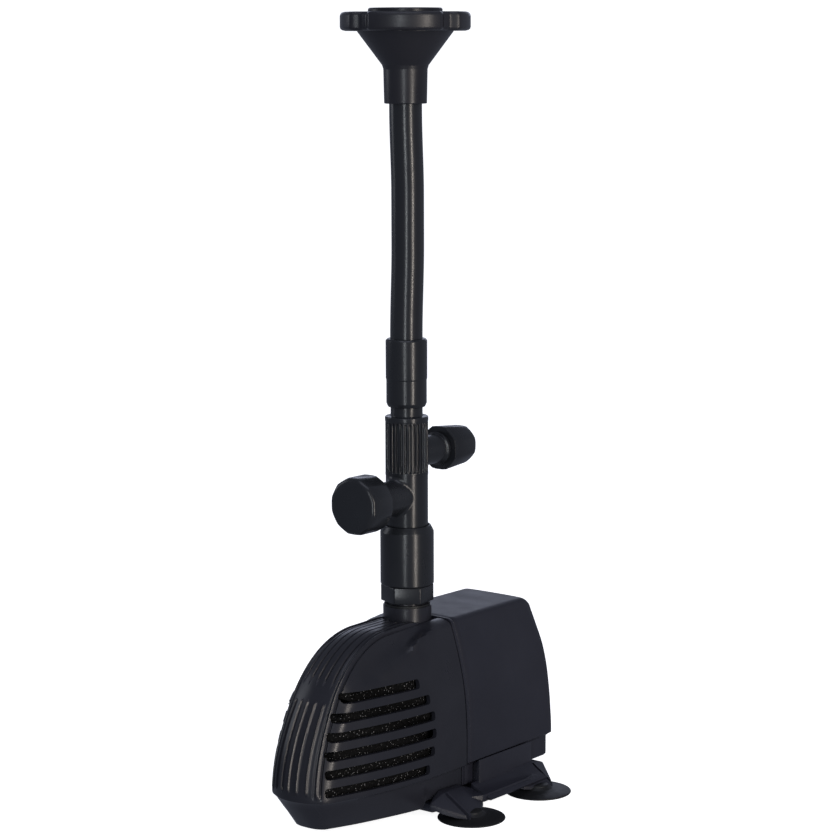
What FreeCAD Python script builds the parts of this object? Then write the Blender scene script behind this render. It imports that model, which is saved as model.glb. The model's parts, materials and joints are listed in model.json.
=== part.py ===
import FreeCAD, Part
import math
import os
import re

import Sketcher
from FreeCAD import Placement, Rotation, Vector

# Fountain submersible pump, millimetres. +Z up, the strainer nose points to -Y, the riser
# stands on the Z axis and the rotor lies along Y. The origin is on the floor under the riser.

DIMENSIONS = {
    # motor housing and strainer cage, both cut to one cross-section at the parting plane
    "parting_y": 9, "rear_y": 84, "shell_wall": 2.5, "parting_gap": 0.2,
    "roof_z": 95.5, "shoulder_x": 20.5, "shoulder_z": 91, "flank_x": 24.8, "flank_z": 79,
    "belly_x": 29.2, "belly_z": 60, "waist_x": 30.7, "waist_z": 40, "break_z": 23,
    "skirt_x": 27.2, "skirt_z": 20.5, "keel_z": 10, "rear_taper": 1.0, "rear_drop": 1.0, "rear_round": 6,
    "nose_y": -87, "nose_floor_y": -79, "cage_keel_z": 6, "skirt_end_y": -20,
    "slot_pitch": 8.6, "slot_size": 4.7, "slot_low_z": 27, "notch_radius": 12.6,
    # motor
    "rotor_z": 56, "can_outer": 14, "can_inner": 12.8, "can_end_y": 60, "flange_radius": 24,
    "flange_y": 13, "flange_end_y": 16.5, "core_start_y": 22, "core_end_y": 52,
    "leg_inner": 9, "leg_outer": 19, "yoke_z": 16, "yoke_top_z": 26, "pole_z": 42,
    "coil_margin": 4.4, "bobbin_wall": 1, "shaft_radius": 1.5, "rotor_radius": 11.8,
    # pump chamber
    "chamber_front_y": -8, "chamber_outer": 24, "chamber_inner": 19.5, "cover_radius": 21.5,
    "cover_front_y": -11, "eye_radius": 9, "impeller_radius": 17, "screw_radius": 1.5,
    "boss_radius": 4, "boss_length": 8.5,
    "spigot_radius": 12.1, "spigot_top_z": 102, "spigot_bore": 7.5, "thread_radius": 10,
    # riser stack
    "nut_flats": 23, "nut_turn": 9, "nut_z": 103, "sleeve_z": 111.4, "sleeve_radius": 13.35,
    "sleeve_shoulder_z": 139.3, "sleeve_top_z": 142.5, "socket_radius": 11,
    "tee_radius": 10.5, "tee_bore": 6, "tee_foot_z": 118, "ribs_z": 169.2, "ribs_top_z": 194.3,
    "tee_top_z": 197.1, "neck_radius": 7.95, "neck_top_z": 213, "ring_seat_z": 121,
    "branch_z": 157.4, "branch_radius": 8.5, "cap_radius": 14.3, "cap_mouth_y": -28,
    "cap_end_y": -42.6, "branch_thread": 12.2, "branch_bore": 5.2,
    "valve_z": 177.6, "stem_radius": 7.3, "stem_end_y": 25, "spindle_radius": 3.9,
    "knob_start_y": 25.4, "knob_end_y": 45, "knob_flats": 21.4, "knob_taper": 3.5,
    "coupling_z": 201.8, "coupling_top_z": 235.5, "coupling_radius": 10,
    "tube_radius": 8, "tube_bore": 6.2, "tube_foot_z": 216, "tube_top_z": 362,
    # nozzle
    "nozzle_z": 350, "nozzle_neck": 10.5, "nozzle_throat_z": 368, "nozzle_throat": 10.9,
    "bell_top_z": 384.5, "bell_radius": 23.7, "rim_z": 385, "rim_top_z": 393.9,
    "rim_radius": 31.6, "plate_radius": 18.1, "nozzle_top_z": 395.8, "lobe_count": 4,
    "jet_radius": 1.1,
    # base bracket and suction cups
    "plate_bottom_z": 4.5, "plate_top_z": 8.4, "plate_x": 36, "cup_x": 42, "cup_front_y": -2,
    "cup_rear_y": 54, "ear_radius": 8.6, "ear_bottom_z": 8.6, "ear_top_z": 16.5,
    "clip_front_y": 18, "clip_rear_y": 62, "clip_outer": 31.6,
    "cup_radius": 16.9, "cup_stem": 3,
    # cable entry
    "gland_z": 30, "gland_radius": 8, "grommet_radius": 5.5, "cable_radius": 3.3,
    "gland_end_y": 87,
}

# rear and front end of each intake slot along Y, from the lowest slot up
SLOT_ENDS = [(-18, -79), (-14, -79), (-12.5, -78), (-13.5, -76), (-17, -73), (-24, -68)]

doc = FreeCAD.newDocument("fountain_pump")
sheet = doc.addObject("Spreadsheet::Sheet", "dims")
for row, (alias, value) in enumerate(DIMENSIONS.items(), start=1):
    sheet.set("A%d" % row, alias)
    sheet.set("B%d" % row, str(value))
    sheet.setAlias("B%d" % row, alias)
doc.recompute()


def size(alias):
    """Value of a driving dimension, read back from the spreadsheet."""
    return float(sheet.get(alias))


def formula(text):
    """Expression text with every driving dimension pointed at the spreadsheet."""
    return re.sub(r"[a-z][a-z_]+(?![a-z_(])", lambda word: "dims." + word.group(0), str(text))


def new_body(label):
    body = doc.addObject("PartDesign::Body", label)
    body.Label = label
    return body


def plane_sketch(body, role, offset="0", name="sketch"):
    """Sketch on one of the body's own origin planes, moved along its normal."""
    sketch = body.newObject("Sketcher::SketchObject", name)
    plane = [f for f in body.Origin.OriginFeatures if f.Role == role][0]
    sketch.AttachmentSupport = [(plane, "")]
    sketch.MapMode = "FlatFace"
    sketch.setExpression(".AttachmentOffset.Base.z", formula(offset))
    return sketch


def pin_point(sketch, geometry, end, across, along):
    """Fix one point of a sketch by its two bound distances from the origin."""
    for kind, text, axis in (("DistanceX", across, -2), ("DistanceY", along, -1)):
        if str(text) == "0":
            sketch.addConstraint(Sketcher.Constraint("PointOnObject", geometry, end, axis))
            continue
        index = sketch.addConstraint(Sketcher.Constraint(kind, -1, 1, geometry, end, 1.0))
        sketch.setExpression("Constraints[%d]" % index, formula(text))


def add_polygon(sketch, points):
    """Closed outline of straight runs between bound corner points."""
    count = len(points)
    corners = [
        Vector(10 + 9 * math.cos(2 * math.pi * i / count), 10 + 9 * math.sin(2 * math.pi * i / count), 0)
        for i in range(count)
    ]
    first = sketch.GeometryCount
    for i in range(count):
        sketch.addGeometry(Part.LineSegment(corners[i], corners[(i + 1) % count]), False)
    for i in range(count):
        following = first + (i + 1) % count
        sketch.addConstraint(Sketcher.Constraint("Coincident", first + i, 2, following, 1))
    for i, (across, along) in enumerate(points):
        pin_point(sketch, first + i, 1, across, along)


def add_circle(sketch, across, along, radius):
    index = sketch.addGeometry(Part.Circle(Vector(1, 1, 0), Vector(0, 0, 1), 2), False)
    pin_point(sketch, index, 3, across, along)
    bound = sketch.addConstraint(Sketcher.Constraint("Radius", index, 2.0))
    sketch.setExpression("Constraints[%d]" % bound, formula(radius))


def outline(body, role, points, offset="0"):
    sketch = plane_sketch(body, role, offset)
    add_polygon(sketch, points)
    return sketch


def circles(body, role, places, radius, offset="0"):
    sketch = plane_sketch(body, role, offset)
    for across, along in places:
        add_circle(sketch, across, along, radius)
    return sketch


def feature(body, kind, sketch, name):
    made = body.newObject("PartDesign::" + kind, name)
    made.Profile = sketch
    return made


def pad(body, sketch, length, backwards=False, both_ways=False):
    made = feature(body, "Pad", sketch, "pad")
    made.setExpression("Length", formula(length))
    made.Reversed = backwards
    made.Midplane = both_ways
    doc.recompute()
    return made


def pocket(body, sketch, length, backwards=False, both_ways=False):
    """Pocket that must take material away."""
    doc.recompute()
    before = body.Shape.Volume
    made = feature(body, "Pocket", sketch, "pocket")
    made.setExpression("Length", formula(length))
    made.Reversed = not backwards
    made.Midplane = both_ways
    doc.recompute()
    if body.Shape.Volume > before - 1e-3:
        raise ValueError("a pocket in %s cuts nothing" % body.Label)
    return made


def revolve(body, sketch, kind="Revolution"):
    made = feature(body, kind, sketch, kind.lower())
    made.ReferenceAxis = (sketch, ["V_Axis"])
    made.Angle = 360
    doc.recompute()
    return made


def ring_pattern(body, originals, axis_role, count):
    """Polar copies of some features about one of the body's own axes."""
    axis = [f for f in body.Origin.OriginFeatures if f.Role == axis_role][0]
    made = body.newObject("PartDesign::PolarPattern", "pattern")
    made.Originals = originals
    made.Axis = (axis, [""])
    made.Angle = 360
    made.Occurrences = count
    body.Tip = made
    doc.recompute()
    return made


def round_edges(body, radius, wanted, kind="Fillet"):
    """Fillet or chamfer the edges of the tip whose midpoint and length pass the test."""
    doc.recompute()
    names = []
    for i, edge in enumerate(body.Tip.Shape.Edges, start=1):
        middle = edge.valueAt((edge.FirstParameter + edge.LastParameter) / 2)
        if wanted(middle, edge):
            names.append("Edge%d" % i)
    if not names:
        raise ValueError("no edge to round on " + body.Label)
    base = body.Tip
    made = body.newObject("PartDesign::" + kind, kind.lower())
    made.Base = (base, names)
    made.setExpression("Radius" if kind == "Fillet" else "Size", formula(radius))
    doc.recompute()
    return made


def turned(label, points):
    """Piece turned about the Z axis from (radius, height) corners."""
    body = new_body(label)
    revolve(body, outline(body, "XZ_Plane", points))
    return body


def turned_along_y(label, points, height="rotor_z"):
    """Piece turned about a line parallel to Y from (radius, y) corners."""
    body = new_body(label)
    revolve(body, outline(body, "XY_Plane", points))
    body.setExpression(".Placement.Base.z", formula(height))
    return body


def tube_points(inner, outer, low, high):
    return [(inner, low), (outer, low), (outer, high), (inner, high)]


def both_sides(half):
    """Mirror an open run of corners about the vertical axis into a closed outline."""
    mirrored = [("-(%s)" % across, along) for across, along in reversed(half) if across != "0"]
    return half + mirrored


# ---------------------------------------------------------------- motor housing and cage

def section_half(inset="0"):
    """Right half of the body's cross-section, from the roof down to the keel."""
    return [
        ("0", "roof_z - (%s)" % inset),
        ("shoulder_x - (%s)" % inset, "shoulder_z - (%s)" % inset),
        ("flank_x - (%s)" % inset, "flank_z"),
        ("belly_x - (%s)" % inset, "belly_z"),
        ("waist_x - (%s)" % inset, "waist_z"),
        ("waist_x - (%s)" % inset, "break_z"),
        ("skirt_x - (%s)" % inset, "skirt_z"),
        ("skirt_x - (%s)" % inset, "keel_z + (%s)" % inset),
    ]


def housing_block(label, inset, front):
    """Solid of the housing, inset by a wall: straight flanks, roof and sides easing to the rear."""
    body = new_body(label)
    rear = "rear_y - (%s)" % inset
    # the XZ plane's normal is -Y, so its offsets are negative y
    face = outline(body, "XZ_Plane", both_sides(section_half(inset)), "-(%s)" % front)
    pad(body, face, "%s - (%s)" % (rear, front), backwards=True)
    roof = "roof_z - (%s)" % inset
    pocket(body, outline(body, "YZ_Plane", [
        ("parting_y", roof), ("rear_y", "%s - rear_drop" % roof), ("rear_y", "roof_z + 5"),
        ("parting_y", "roof_z + 5")]), "90", both_ways=True)
    for side in (1, -1):
        waist = "%d * (waist_x - (%s))" % (side, inset)
        eased = "%d * (waist_x - (%s) - rear_taper)" % (side, inset)
        beyond = "%d * (waist_x + 5)" % side
        pocket(body, outline(body, "XY_Plane", [
            (waist, "parting_y"), (eased, "rear_y"), (beyond, "rear_y"), (beyond, "parting_y")]), "110")
    back = body.Tip.Shape.BoundBox.YMax - 0.01
    round_edges(body, "rear_round - (%s)" % inset, lambda p, e: p.y > back and p.z > 30)
    return body


def make_motor_housing():
    """Cup closed at the rear, open at the parting plane, with four screw bosses inside."""
    outer = housing_block("housing_outer", "0", "parting_y")
    inner = housing_block("housing_inner", "shell_wall", "parting_y")
    pocket(inner, circles(inner, "XZ_Plane", screw_places(), "boss_radius", "-(flange_y)"),
           "boss_length", backwards=True)
    holes = new_body("housing_holes")
    pad(holes, circles(holes, "XZ_Plane", screw_places(), "screw_radius", "-(flange_y - 1)"),
        "boss_length", backwards=True)
    notch = new_body("housing_notch")
    pad(notch, circles(notch, "XY_Plane", [("0", "0")], "spigot_radius + 0.05", "shoulder_z - 12"), "20")
    gland = new_body("housing_gland_hole")
    pad(gland, circles(gland, "XZ_Plane", [("0", "gland_z")], "grommet_radius + 1", "-(rear_y + 1)"), "8")
    cut_away = doc.addObject("Part::MultiFuse", "housing_cut_away")
    cut_away.Shapes = [inner, holes, notch, gland]
    housing = doc.addObject("Part::Cut", "motor_housing")
    housing.Base = outer
    housing.Tool = cut_away
    housing.Label = "motor_housing"
    doc.recompute()


def screw_places():
    return [("17", "83"), ("-17", "83"), ("21.2", "18"), ("-21.2", "18")]


def side_profile(inset="0"):
    """Right-hand view of the cage: (y, z) corners from the roof round the nose to the keel."""
    arc = []
    for step in range(1, 10):
        angle = 10 * step
        arc.append((
            "-30 - (57 - (%s)) * sin(%d)" % (inset, angle),
            "break_z + (72.5 - (%s)) * cos(%d)" % (inset, angle)))
    return [("parting_y - parting_gap", "roof_z - (%s)" % inset), ("-30", "roof_z - (%s)" % inset)] + arc + [
        ("nose_floor_y + (%s)" % inset, "cage_keel_z + (%s)" % inset),
        ("skirt_end_y - (%s)" % inset, "cage_keel_z + (%s)" % inset),
        ("skirt_end_y - (%s)" % inset, "keel_z + (%s)" % inset),
        ("parting_y - parting_gap", "keel_z + (%s)" % inset),
    ]


def plan_half(inset="0"):
    """Half of the cage's plan: (x, y) corners from the parting plane forward to the rounded nose."""
    return [
        ("waist_x - (%s)" % inset, "parting_y - parting_gap"),
        ("waist_x - (%s)" % inset, "-22"),
        ("waist_x - 4.2 - (%s)" % inset, "-46"),
        ("waist_x - 8.2 - (%s)" % inset, "-67"),
        ("waist_x - 13.7 - (%s)" % inset, "-79.5 + (%s) / 2" % inset),
        ("waist_x - 18.7 - (%s)" % inset, "nose_y + 3 + (%s)" % inset),
        ("0", "nose_y + (%s)" % inset),
    ]


def cage_block(label, inset):
    """Solid inside the cage's side view, plan and cross-section at once."""
    side = new_body(label + "_side")
    # the YZ plane has +Y to the right and +Z up
    pad(side, outline(side, "YZ_Plane", side_profile(inset)), "80", both_ways=True)
    plan = new_body(label + "_plan")
    pad(plan, outline(plan, "XY_Plane", both_sides(plan_half(inset))), "110")
    face = new_body(label + "_face")
    low = "cage_keel_z + (%s)" % inset
    half = section_half(inset)[:-1] + [("skirt_x - (%s)" % inset, low)]
    pad(face, outline(face, "XZ_Plane", both_sides(half), "-(parting_y)"), "110")
    block = doc.addObject("Part::MultiCommon", label)
    block.Shapes = [side, plan, face]
    doc.recompute()
    return block


def make_cage_cutters():
    """Six intake slots through both flanks and the notch that clears the outlet spigot."""
    cutter = new_body("cage_cutters")
    for i, (rear, front) in enumerate(SLOT_ENDS):
        low = "slot_low_z - slot_size / 2 + %d * slot_pitch" % i
        high = "slot_low_z + slot_size / 2 + %d * slot_pitch" % i
        slot = outline(cutter, "YZ_Plane", [(rear, low), (front, low), (front, high), (rear, high)])
        pad(cutter, slot, "90", both_ways=True)
    notch = outline(cutter, "XY_Plane", [
        ("notch_radius", "0"), ("notch_radius", "parting_y + 1"),
        ("-notch_radius", "parting_y + 1"), ("-notch_radius", "0")], "70")
    pad(cutter, notch, "40")
    pad(cutter, circles(cutter, "XY_Plane", [("0", "0")], "notch_radius", "70"), "40")
    return cutter


def make_strainer_cage():
    """Front shell with six intake slots in each flank; it slides forward off the chamber."""
    outer = cage_block("cage_outer", "0")
    inner = cage_block("cage_inner", "shell_wall")
    opening = doc.addObject("Part::Box", "cage_opening")
    opening.setExpression("Length", formula("2 * (skirt_x - shell_wall)"))
    opening.Width = 10
    opening.setExpression("Height", formula("flank_z - keel_z - shell_wall"))
    opening.setExpression(".Placement.Base.x", formula("-(skirt_x - shell_wall)"))
    opening.setExpression(".Placement.Base.y", formula("parting_y - 5"))
    opening.setExpression(".Placement.Base.z", formula("keel_z + shell_wall"))
    cut_away = doc.addObject("Part::MultiFuse", "cage_cut_away")
    cut_away.Shapes = [inner, make_cage_cutters(), opening]
    cage = doc.addObject("Part::Cut", "strainer_cage")
    cage.Base = outer
    cage.Tool = cut_away
    cage.Label = "strainer_cage"
    doc.recompute()


def make_intake_foam():
    """Coarse filter foam that lines the nose of the cage, hollow towards the chamber."""
    block = cage_block("foam_block", "shell_wall + 0.3")
    hollow = new_body("foam_hollow")
    pad(hollow, outline(hollow, "XY_Plane", [
        ("20", "20"), ("20", "-44"), ("9", "-68"), ("-9", "-68"), ("-20", "-44"), ("-20", "20")], "0"), "110")
    rear = new_body("foam_rear")
    pad(rear, outline(rear, "YZ_Plane", [("-12", "0"), ("20", "0"), ("20", "110"), ("-12", "110")]),
        "80", both_ways=True)
    top = new_body("foam_top")
    pad(top, outline(top, "YZ_Plane", [("-95", "78"), ("20", "78"), ("20", "110"), ("-95", "110")]),
        "80", both_ways=True)
    cut_away = doc.addObject("Part::MultiFuse", "foam_cut_away")
    cut_away.Shapes = [hollow, rear, top]
    foam = doc.addObject("Part::Cut", "intake_foam")
    foam.Base = block
    foam.Tool = cut_away
    foam.Label = "intake_foam"
    doc.recompute()


# ---------------------------------------------------------------- motor

def make_rotor_can():
    """Thin-walled can that keeps the rotor wet and the windings dry, with a sealing flange."""
    turned_along_y("rotor_can", [
        ("can_inner", "flange_y"), ("flange_radius - 5", "flange_y"),
        ("flange_radius - 5", "flange_y + 2"), ("flange_radius - 3", "flange_y + 2"),
        ("flange_radius - 3", "flange_y"), ("flange_radius", "flange_y"),
        ("flange_radius", "flange_end_y"), ("can_outer", "flange_end_y"),
        ("can_outer", "can_end_y"), ("0", "can_end_y"), ("0", "can_end_y - 1.5"),
        ("4", "can_end_y - 1.5"), ("4", "can_end_y - 6"), ("can_inner", "can_end_y - 6")])


def make_stator_core():
    """U-shaped lamination pack whose two poles close round the rotor can."""
    body = new_body("stator_core")
    half = [
        ("leg_outer", "yoke_z"), ("leg_outer", "pole_z"), ("23.5", "pole_z + 4"),
        ("23.5", "rotor_z + 10"), ("18", "rotor_z + 16"), ("3", "rotor_z + 16"),
        ("3", "pole_z + 2"), ("leg_inner", "pole_z"), ("leg_inner", "yoke_top_z")]
    mirrored = [("-(%s)" % across, along) for across, along in reversed(half)]
    pad(body, outline(body, "XZ_Plane", half + mirrored, "-(core_start_y)"),
        "core_end_y - core_start_y", backwards=True)
    pocket(body, circles(body, "XZ_Plane", [("0", "rotor_z")], "can_outer + 0.3", "-(core_start_y - 1)"),
           "core_end_y - core_start_y + 2", backwards=True)
    return body


def frame_outline(body, side, grow, low):
    """Rectangle round one stator leg, grown outward, at a given height."""
    near = "leg_inner - (%s)" % grow
    far = "leg_outer + (%s)" % grow
    if side < 0:
        near, far = "-(%s)" % near, "-(%s)" % far
    front = "core_start_y - (%s)" % grow
    back = "core_end_y + (%s)" % grow
    return outline(body, "XY_Plane", [(near, front), (far, front), (far, back), (near, back)], low)


def make_bobbin(side, name):
    """Spool round one leg: a thin sleeve with a flange at each end."""
    body = new_body("coil_bobbin_" + name)
    low, high = "yoke_top_z + 0.1", "pole_z - 0.1"
    pad(body, frame_outline(body, side, "bobbin_wall + 0.1", low), "pole_z - yoke_top_z - 0.2")
    pad(body, frame_outline(body, side, "coil_margin", low), "bobbin_wall")
    pad(body, frame_outline(body, side, "coil_margin", "%s - bobbin_wall" % high), "bobbin_wall")
    pocket(body, frame_outline(body, side, "0.1", "yoke_top_z - 1"), "30")


def make_winding(side, name):
    """Enamelled copper wound between the bobbin's flanges, as one closed coil."""
    body = new_body("coil_winding_" + name)
    low = "yoke_top_z + 0.2 + bobbin_wall"
    pad(body, frame_outline(body, side, "coil_margin - 0.5", low),
        "pole_z - yoke_top_z - 0.4 - 2 * bobbin_wall")
    pocket(body, frame_outline(body, side, "bobbin_wall + 0.2", "yoke_top_z"), "30")
    round_edges(body, "2", lambda p, e: vertical(e) and outer_corner(p))


def vertical(edge):
    return abs(edge.BoundBox.ZLength - edge.Length) < 1e-6


def outer_corner(point):
    """True outside the footprint of the stator leg and its sleeve, along Y."""
    return point.y < size("core_start_y") - 2 or point.y > size("core_end_y") + 2


def make_potting_resin(electrics):
    """Resin that fills the housing round the electrics, level with their front."""
    fill = housing_block("resin_fill", "shell_wall + 0.1", "flange_end_y + 0.2")
    pocket(fill, outline(fill, "YZ_Plane", [("70", "0"), ("110", "0"), ("110", "110"), ("70", "110")]),
           "80", both_ways=True)
    spaces = new_body("resin_spaces")
    for side in (1, -1):
        pad(spaces, frame_outline(spaces, side, "coil_margin", "yoke_top_z"), "pole_z - yoke_top_z")
    pad(spaces, circles(spaces, "XZ_Plane", [("0", "rotor_z")], "can_outer", "-(flange_y)"),
        "can_end_y - flange_y", backwards=True)
    pad(spaces, circles(spaces, "XZ_Plane", screw_places(), "boss_radius", "-(flange_y)"),
        "boss_length", backwards=True)
    tool = doc.addObject("Part::MultiFuse", "resin_holes")
    tool.Shapes = electrics + [spaces]
    resin = doc.addObject("Part::Cut", "potting_resin")
    resin.Base = fill
    resin.Tool = tool
    resin.Label = "potting_resin"
    doc.recompute()


def make_shaft_set():
    """Fixed ceramic shaft, its two bushes, and the magnet that turns on it."""
    turned_along_y("ceramic_shaft", [
        ("0", "chamber_front_y - 1"), ("shaft_radius", "chamber_front_y - 1"),
        ("shaft_radius", "can_end_y - 2"), ("0", "can_end_y - 2")])
    turned_along_y("rear_bush", tube_points("shaft_radius", "4", "can_end_y - 6", "can_end_y - 2"))
    turned_along_y("front_bush", tube_points(
        "shaft_radius", "3", "chamber_front_y - 2.5", "chamber_front_y + 1.5"))
    turned_along_y("rotor_magnet", tube_points(
        "shaft_radius + 0.06", "rotor_radius", "flange_end_y + 1.5", "can_end_y - 8"))


def make_impeller():
    """Backing disc with a hub and six straight vanes, driven by the magnet behind it."""
    body = new_body("impeller")
    revolve(body, outline(body, "XY_Plane", [
        ("shaft_radius + 0.06", "-5.5"), ("4.5", "-5.5"), ("5", "4.5"), ("impeller_radius", "5"),
        ("impeller_radius", "7"), ("6", "7"), ("6", "flange_end_y + 1.5"),
        ("shaft_radius + 0.06", "flange_end_y + 1.5")]))
    # one vane, standing forward from the disc and leaning back from the radius
    vane = outline(body, "XZ_Plane", [
        ("4", "0.8"), ("impeller_radius - 0.5", "-3.2"), ("impeller_radius - 0.5", "-4.8"), ("4", "-0.8")], "-5")
    blade = pad(body, vane, "9")
    ring_pattern(body, [blade], "Y_Axis", 6)
    body.setExpression(".Placement.Base.z", formula("rotor_z"))


# ---------------------------------------------------------------- pump chamber

def make_pump_chamber():
    """Back plate that closes the housing, round chamber in front, outlet spigot on top."""
    body = new_body("pump_chamber")
    inset = "shell_wall + 0.15"
    pad(body, outline(body, "XZ_Plane", both_sides(section_half(inset)), "-(flange_y)"), "flange_y - parting_y")
    pad(body, circles(body, "XZ_Plane", [("0", "rotor_z")], "chamber_outer", "-(flange_y)"),
        "flange_y - chamber_front_y")
    pad(body, circles(body, "XY_Plane", [("0", "0")], "spigot_radius", "rotor_z + cover_radius + 0.3"),
        "spigot_top_z - rotor_z - cover_radius - 0.3")
    pad(body, circles(body, "XY_Plane", [("0", "0")], "thread_radius", "spigot_top_z"), "10")
    pocket(body, circles(body, "XZ_Plane", [("0", "rotor_z")], "chamber_inner", "-(parting_y)"),
           "parting_y - chamber_front_y + 6")
    pocket(body, circles(body, "XZ_Plane", [("0", "rotor_z")], "can_inner - 1.5", "-(flange_y + 1)"), "6")
    pocket(body, circles(body, "XY_Plane", [("0", "0")], "spigot_bore", "rotor_z + 14"), "60")
    pocket(body, circles(body, "XZ_Plane", screw_places(), "screw_radius + 0.2", "-(flange_y + 1)"), "8")


def make_chamber_cover():
    """Twist-off front cover with the intake eye and a three-armed carrier for the bush."""
    body = new_body("chamber_cover")
    face = circles(body, "XZ_Plane", [("0", "0")], "cover_radius", "-(chamber_front_y)")
    pad(body, face, "chamber_front_y - cover_front_y")
    pad(body, circles(body, "XZ_Plane", [("0", "0")], "eye_radius + 2", "-(cover_front_y)"), "3")
    pocket(body, circles(body, "XZ_Plane", [("0", "0")], "eye_radius", "-(chamber_front_y + 1)"), "12")
    arm = pad(body, outline(body, "XZ_Plane", [
        ("3", "-1"), ("eye_radius + 0.5", "-1"), ("eye_radius + 0.5", "1"), ("3", "1")],
        "-(chamber_front_y)"), "2.5")
    ring_pattern(body, [arm], "Y_Axis", 3)
    hub = circles(body, "XZ_Plane", [("0", "0")], "4.2", "-(chamber_front_y)")
    pad(body, hub, "3.5")
    pocket(body, circles(body, "XZ_Plane", [("0", "0")], "3", "-(chamber_front_y + 1)"), "3.5")
    body.setExpression(".Placement.Base.z", formula("rotor_z"))


def make_chamber_screws():
    """Four pan-head screws through the chamber's back plate into the housing's bosses."""
    body = new_body("chamber_screws_shape")
    revolve(body, outline(body, "XY_Plane", [
        ("0", "parting_y - 2"), ("2.8", "parting_y - 2"), ("2.8", "parting_y"),
        ("screw_radius", "parting_y"), ("screw_radius", "flange_y + boss_length - 1.5"),
        ("0", "flange_y + boss_length - 1.5")]))
    screws = doc.addObject("Part::Feature", "chamber_screws")
    places = [(float(x), float(z)) for x, z in screw_places()]
    copies = []
    for across, up in places:
        copy = body.Shape.copy()
        copy.translate(Vector(across, 0, up))
        copies.append(copy)
    screws.Shape = Part.makeCompound(copies)
    screws.Label = "chamber_screws"


def make_torus(label, radius, section, at):
    """Round-section seal ring; at is its centre, its axis along Y."""
    ring = doc.addObject("Part::Torus", label)
    ring.Label = label
    ring.setExpression("Radius1", formula(radius))
    ring.setExpression("Radius2", formula(section))
    ring.Placement = Placement(Vector(0, 0, 0), Rotation(Vector(1, 0, 0), 90))
    ring.setExpression(".Placement.Base.y", formula(at[0]))
    ring.setExpression(".Placement.Base.z", formula(at[1]))


# ---------------------------------------------------------------- riser stack

def polygon_points(sides, flats, turn="0"):
    """Corners of a regular polygon given its size across flats and its turn in degrees."""
    corners = []
    for i in range(sides):
        angle = "(%.6f + (%s))" % (360.0 / sides * (i + 0.5), turn)
        reach = "(%s) / 2 / cos(%.6f)" % (flats, 180.0 / sides)
        corners.append(("%s * cos(%s)" % (reach, angle), "%s * sin(%s)" % (reach, angle)))
    return corners


def make_lower_adapter():
    """Hexagon nut in one piece with the socket that the telescopic tee slides in."""
    body = new_body("lower_adapter")
    nut = outline(body, "XY_Plane", polygon_points(6, "nut_flats", "nut_turn"), "nut_z")
    pad(body, nut, "sleeve_z - nut_z")
    revolve(body, outline(body, "XZ_Plane", [
        ("5", "sleeve_z"), ("sleeve_radius", "sleeve_z"), ("sleeve_radius", "sleeve_shoulder_z"),
        ("sleeve_radius - 0.6", "sleeve_top_z - 1"), ("sleeve_radius - 1.6", "sleeve_top_z"), ("5", "sleeve_top_z")]))
    revolve(body, outline(body, "XZ_Plane", [
        ("0", "nut_z - 1"), ("thread_radius", "nut_z - 1"), ("thread_radius", "spigot_top_z + 10.2"),
        ("spigot_bore", "spigot_top_z + 10.2"), ("spigot_bore", "spigot_top_z + 12.5"),
        ("socket_radius", "spigot_top_z + 12.5"), ("socket_radius", "sleeve_top_z + 1"),
        ("0", "sleeve_top_z + 1")]), "Groove")


def make_tee_body():
    """Sliding tee: ribbed barrel, capped branch to the front, valve stem to the rear."""
    body = new_body("tee_body")
    revolve(body, outline(body, "XZ_Plane", [
        ("0", "tee_foot_z"), ("tee_radius", "tee_foot_z"), ("tee_radius", "ring_seat_z"),
        ("tee_radius - 1.2", "ring_seat_z"), ("tee_radius - 1.2", "ring_seat_z + 2.4"),
        ("tee_radius", "ring_seat_z + 2.4"), ("tee_radius", "tee_top_z"), ("neck_radius", "tee_top_z"),
        ("neck_radius", "neck_top_z"), ("0", "neck_top_z")]))
    flute = outline(body, "XY_Plane", [
        ("tee_radius - 0.55", "-0.45"), ("tee_radius + 1", "-0.65"), ("tee_radius + 1", "0.65"),
        ("tee_radius - 0.55", "0.45")], "ribs_z")
    groove = pocket(body, flute, "ribs_top_z - ribs_z")
    ring_pattern(body, [groove], "Z_Axis", 30)
    branch = circles(body, "XZ_Plane", [("0", "branch_z")], "branch_radius", "0")
    pad(body, branch, "29.5")
    pad(body, circles(body, "XZ_Plane", [("0", "branch_z")], "branch_thread", "29.5"), "10")
    pad(body, circles(body, "XZ_Plane", [("0", "valve_z")], "stem_radius", "0"), "stem_end_y", backwards=True)
    pocket(body, circles(body, "XY_Plane", [("0", "0")], "tee_bore", "tee_foot_z - 1"), "100")
    pocket(body, circles(body, "XZ_Plane", [("0", "branch_z")], "branch_bore", "0"), "45")
    pocket(body, circles(body, "XZ_Plane", [("0", "valve_z")], "spindle_radius + 0.06", "0"), "30",
           backwards=True)


def make_valve_spindle():
    """Quarter-turn spindle with a disc vane across the tee's bore; drawn in the open position."""
    body = new_body("valve_spindle")
    revolve(body, outline(body, "XY_Plane", [
        ("0", "5"), ("spindle_radius", "5"), ("spindle_radius", "17"), ("spindle_radius - 1.1", "17"),
        ("spindle_radius - 1.1", "19.2"), ("spindle_radius", "19.2"), ("spindle_radius", "36"), ("0", "36")]))
    vane = circles(body, "YZ_Plane", [("0", "0")], "tee_bore - 0.5", "0")
    pad(body, vane, "1.6", both_ways=True)
    body.setExpression(".Placement.Base.z", formula("valve_z"))


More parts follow.
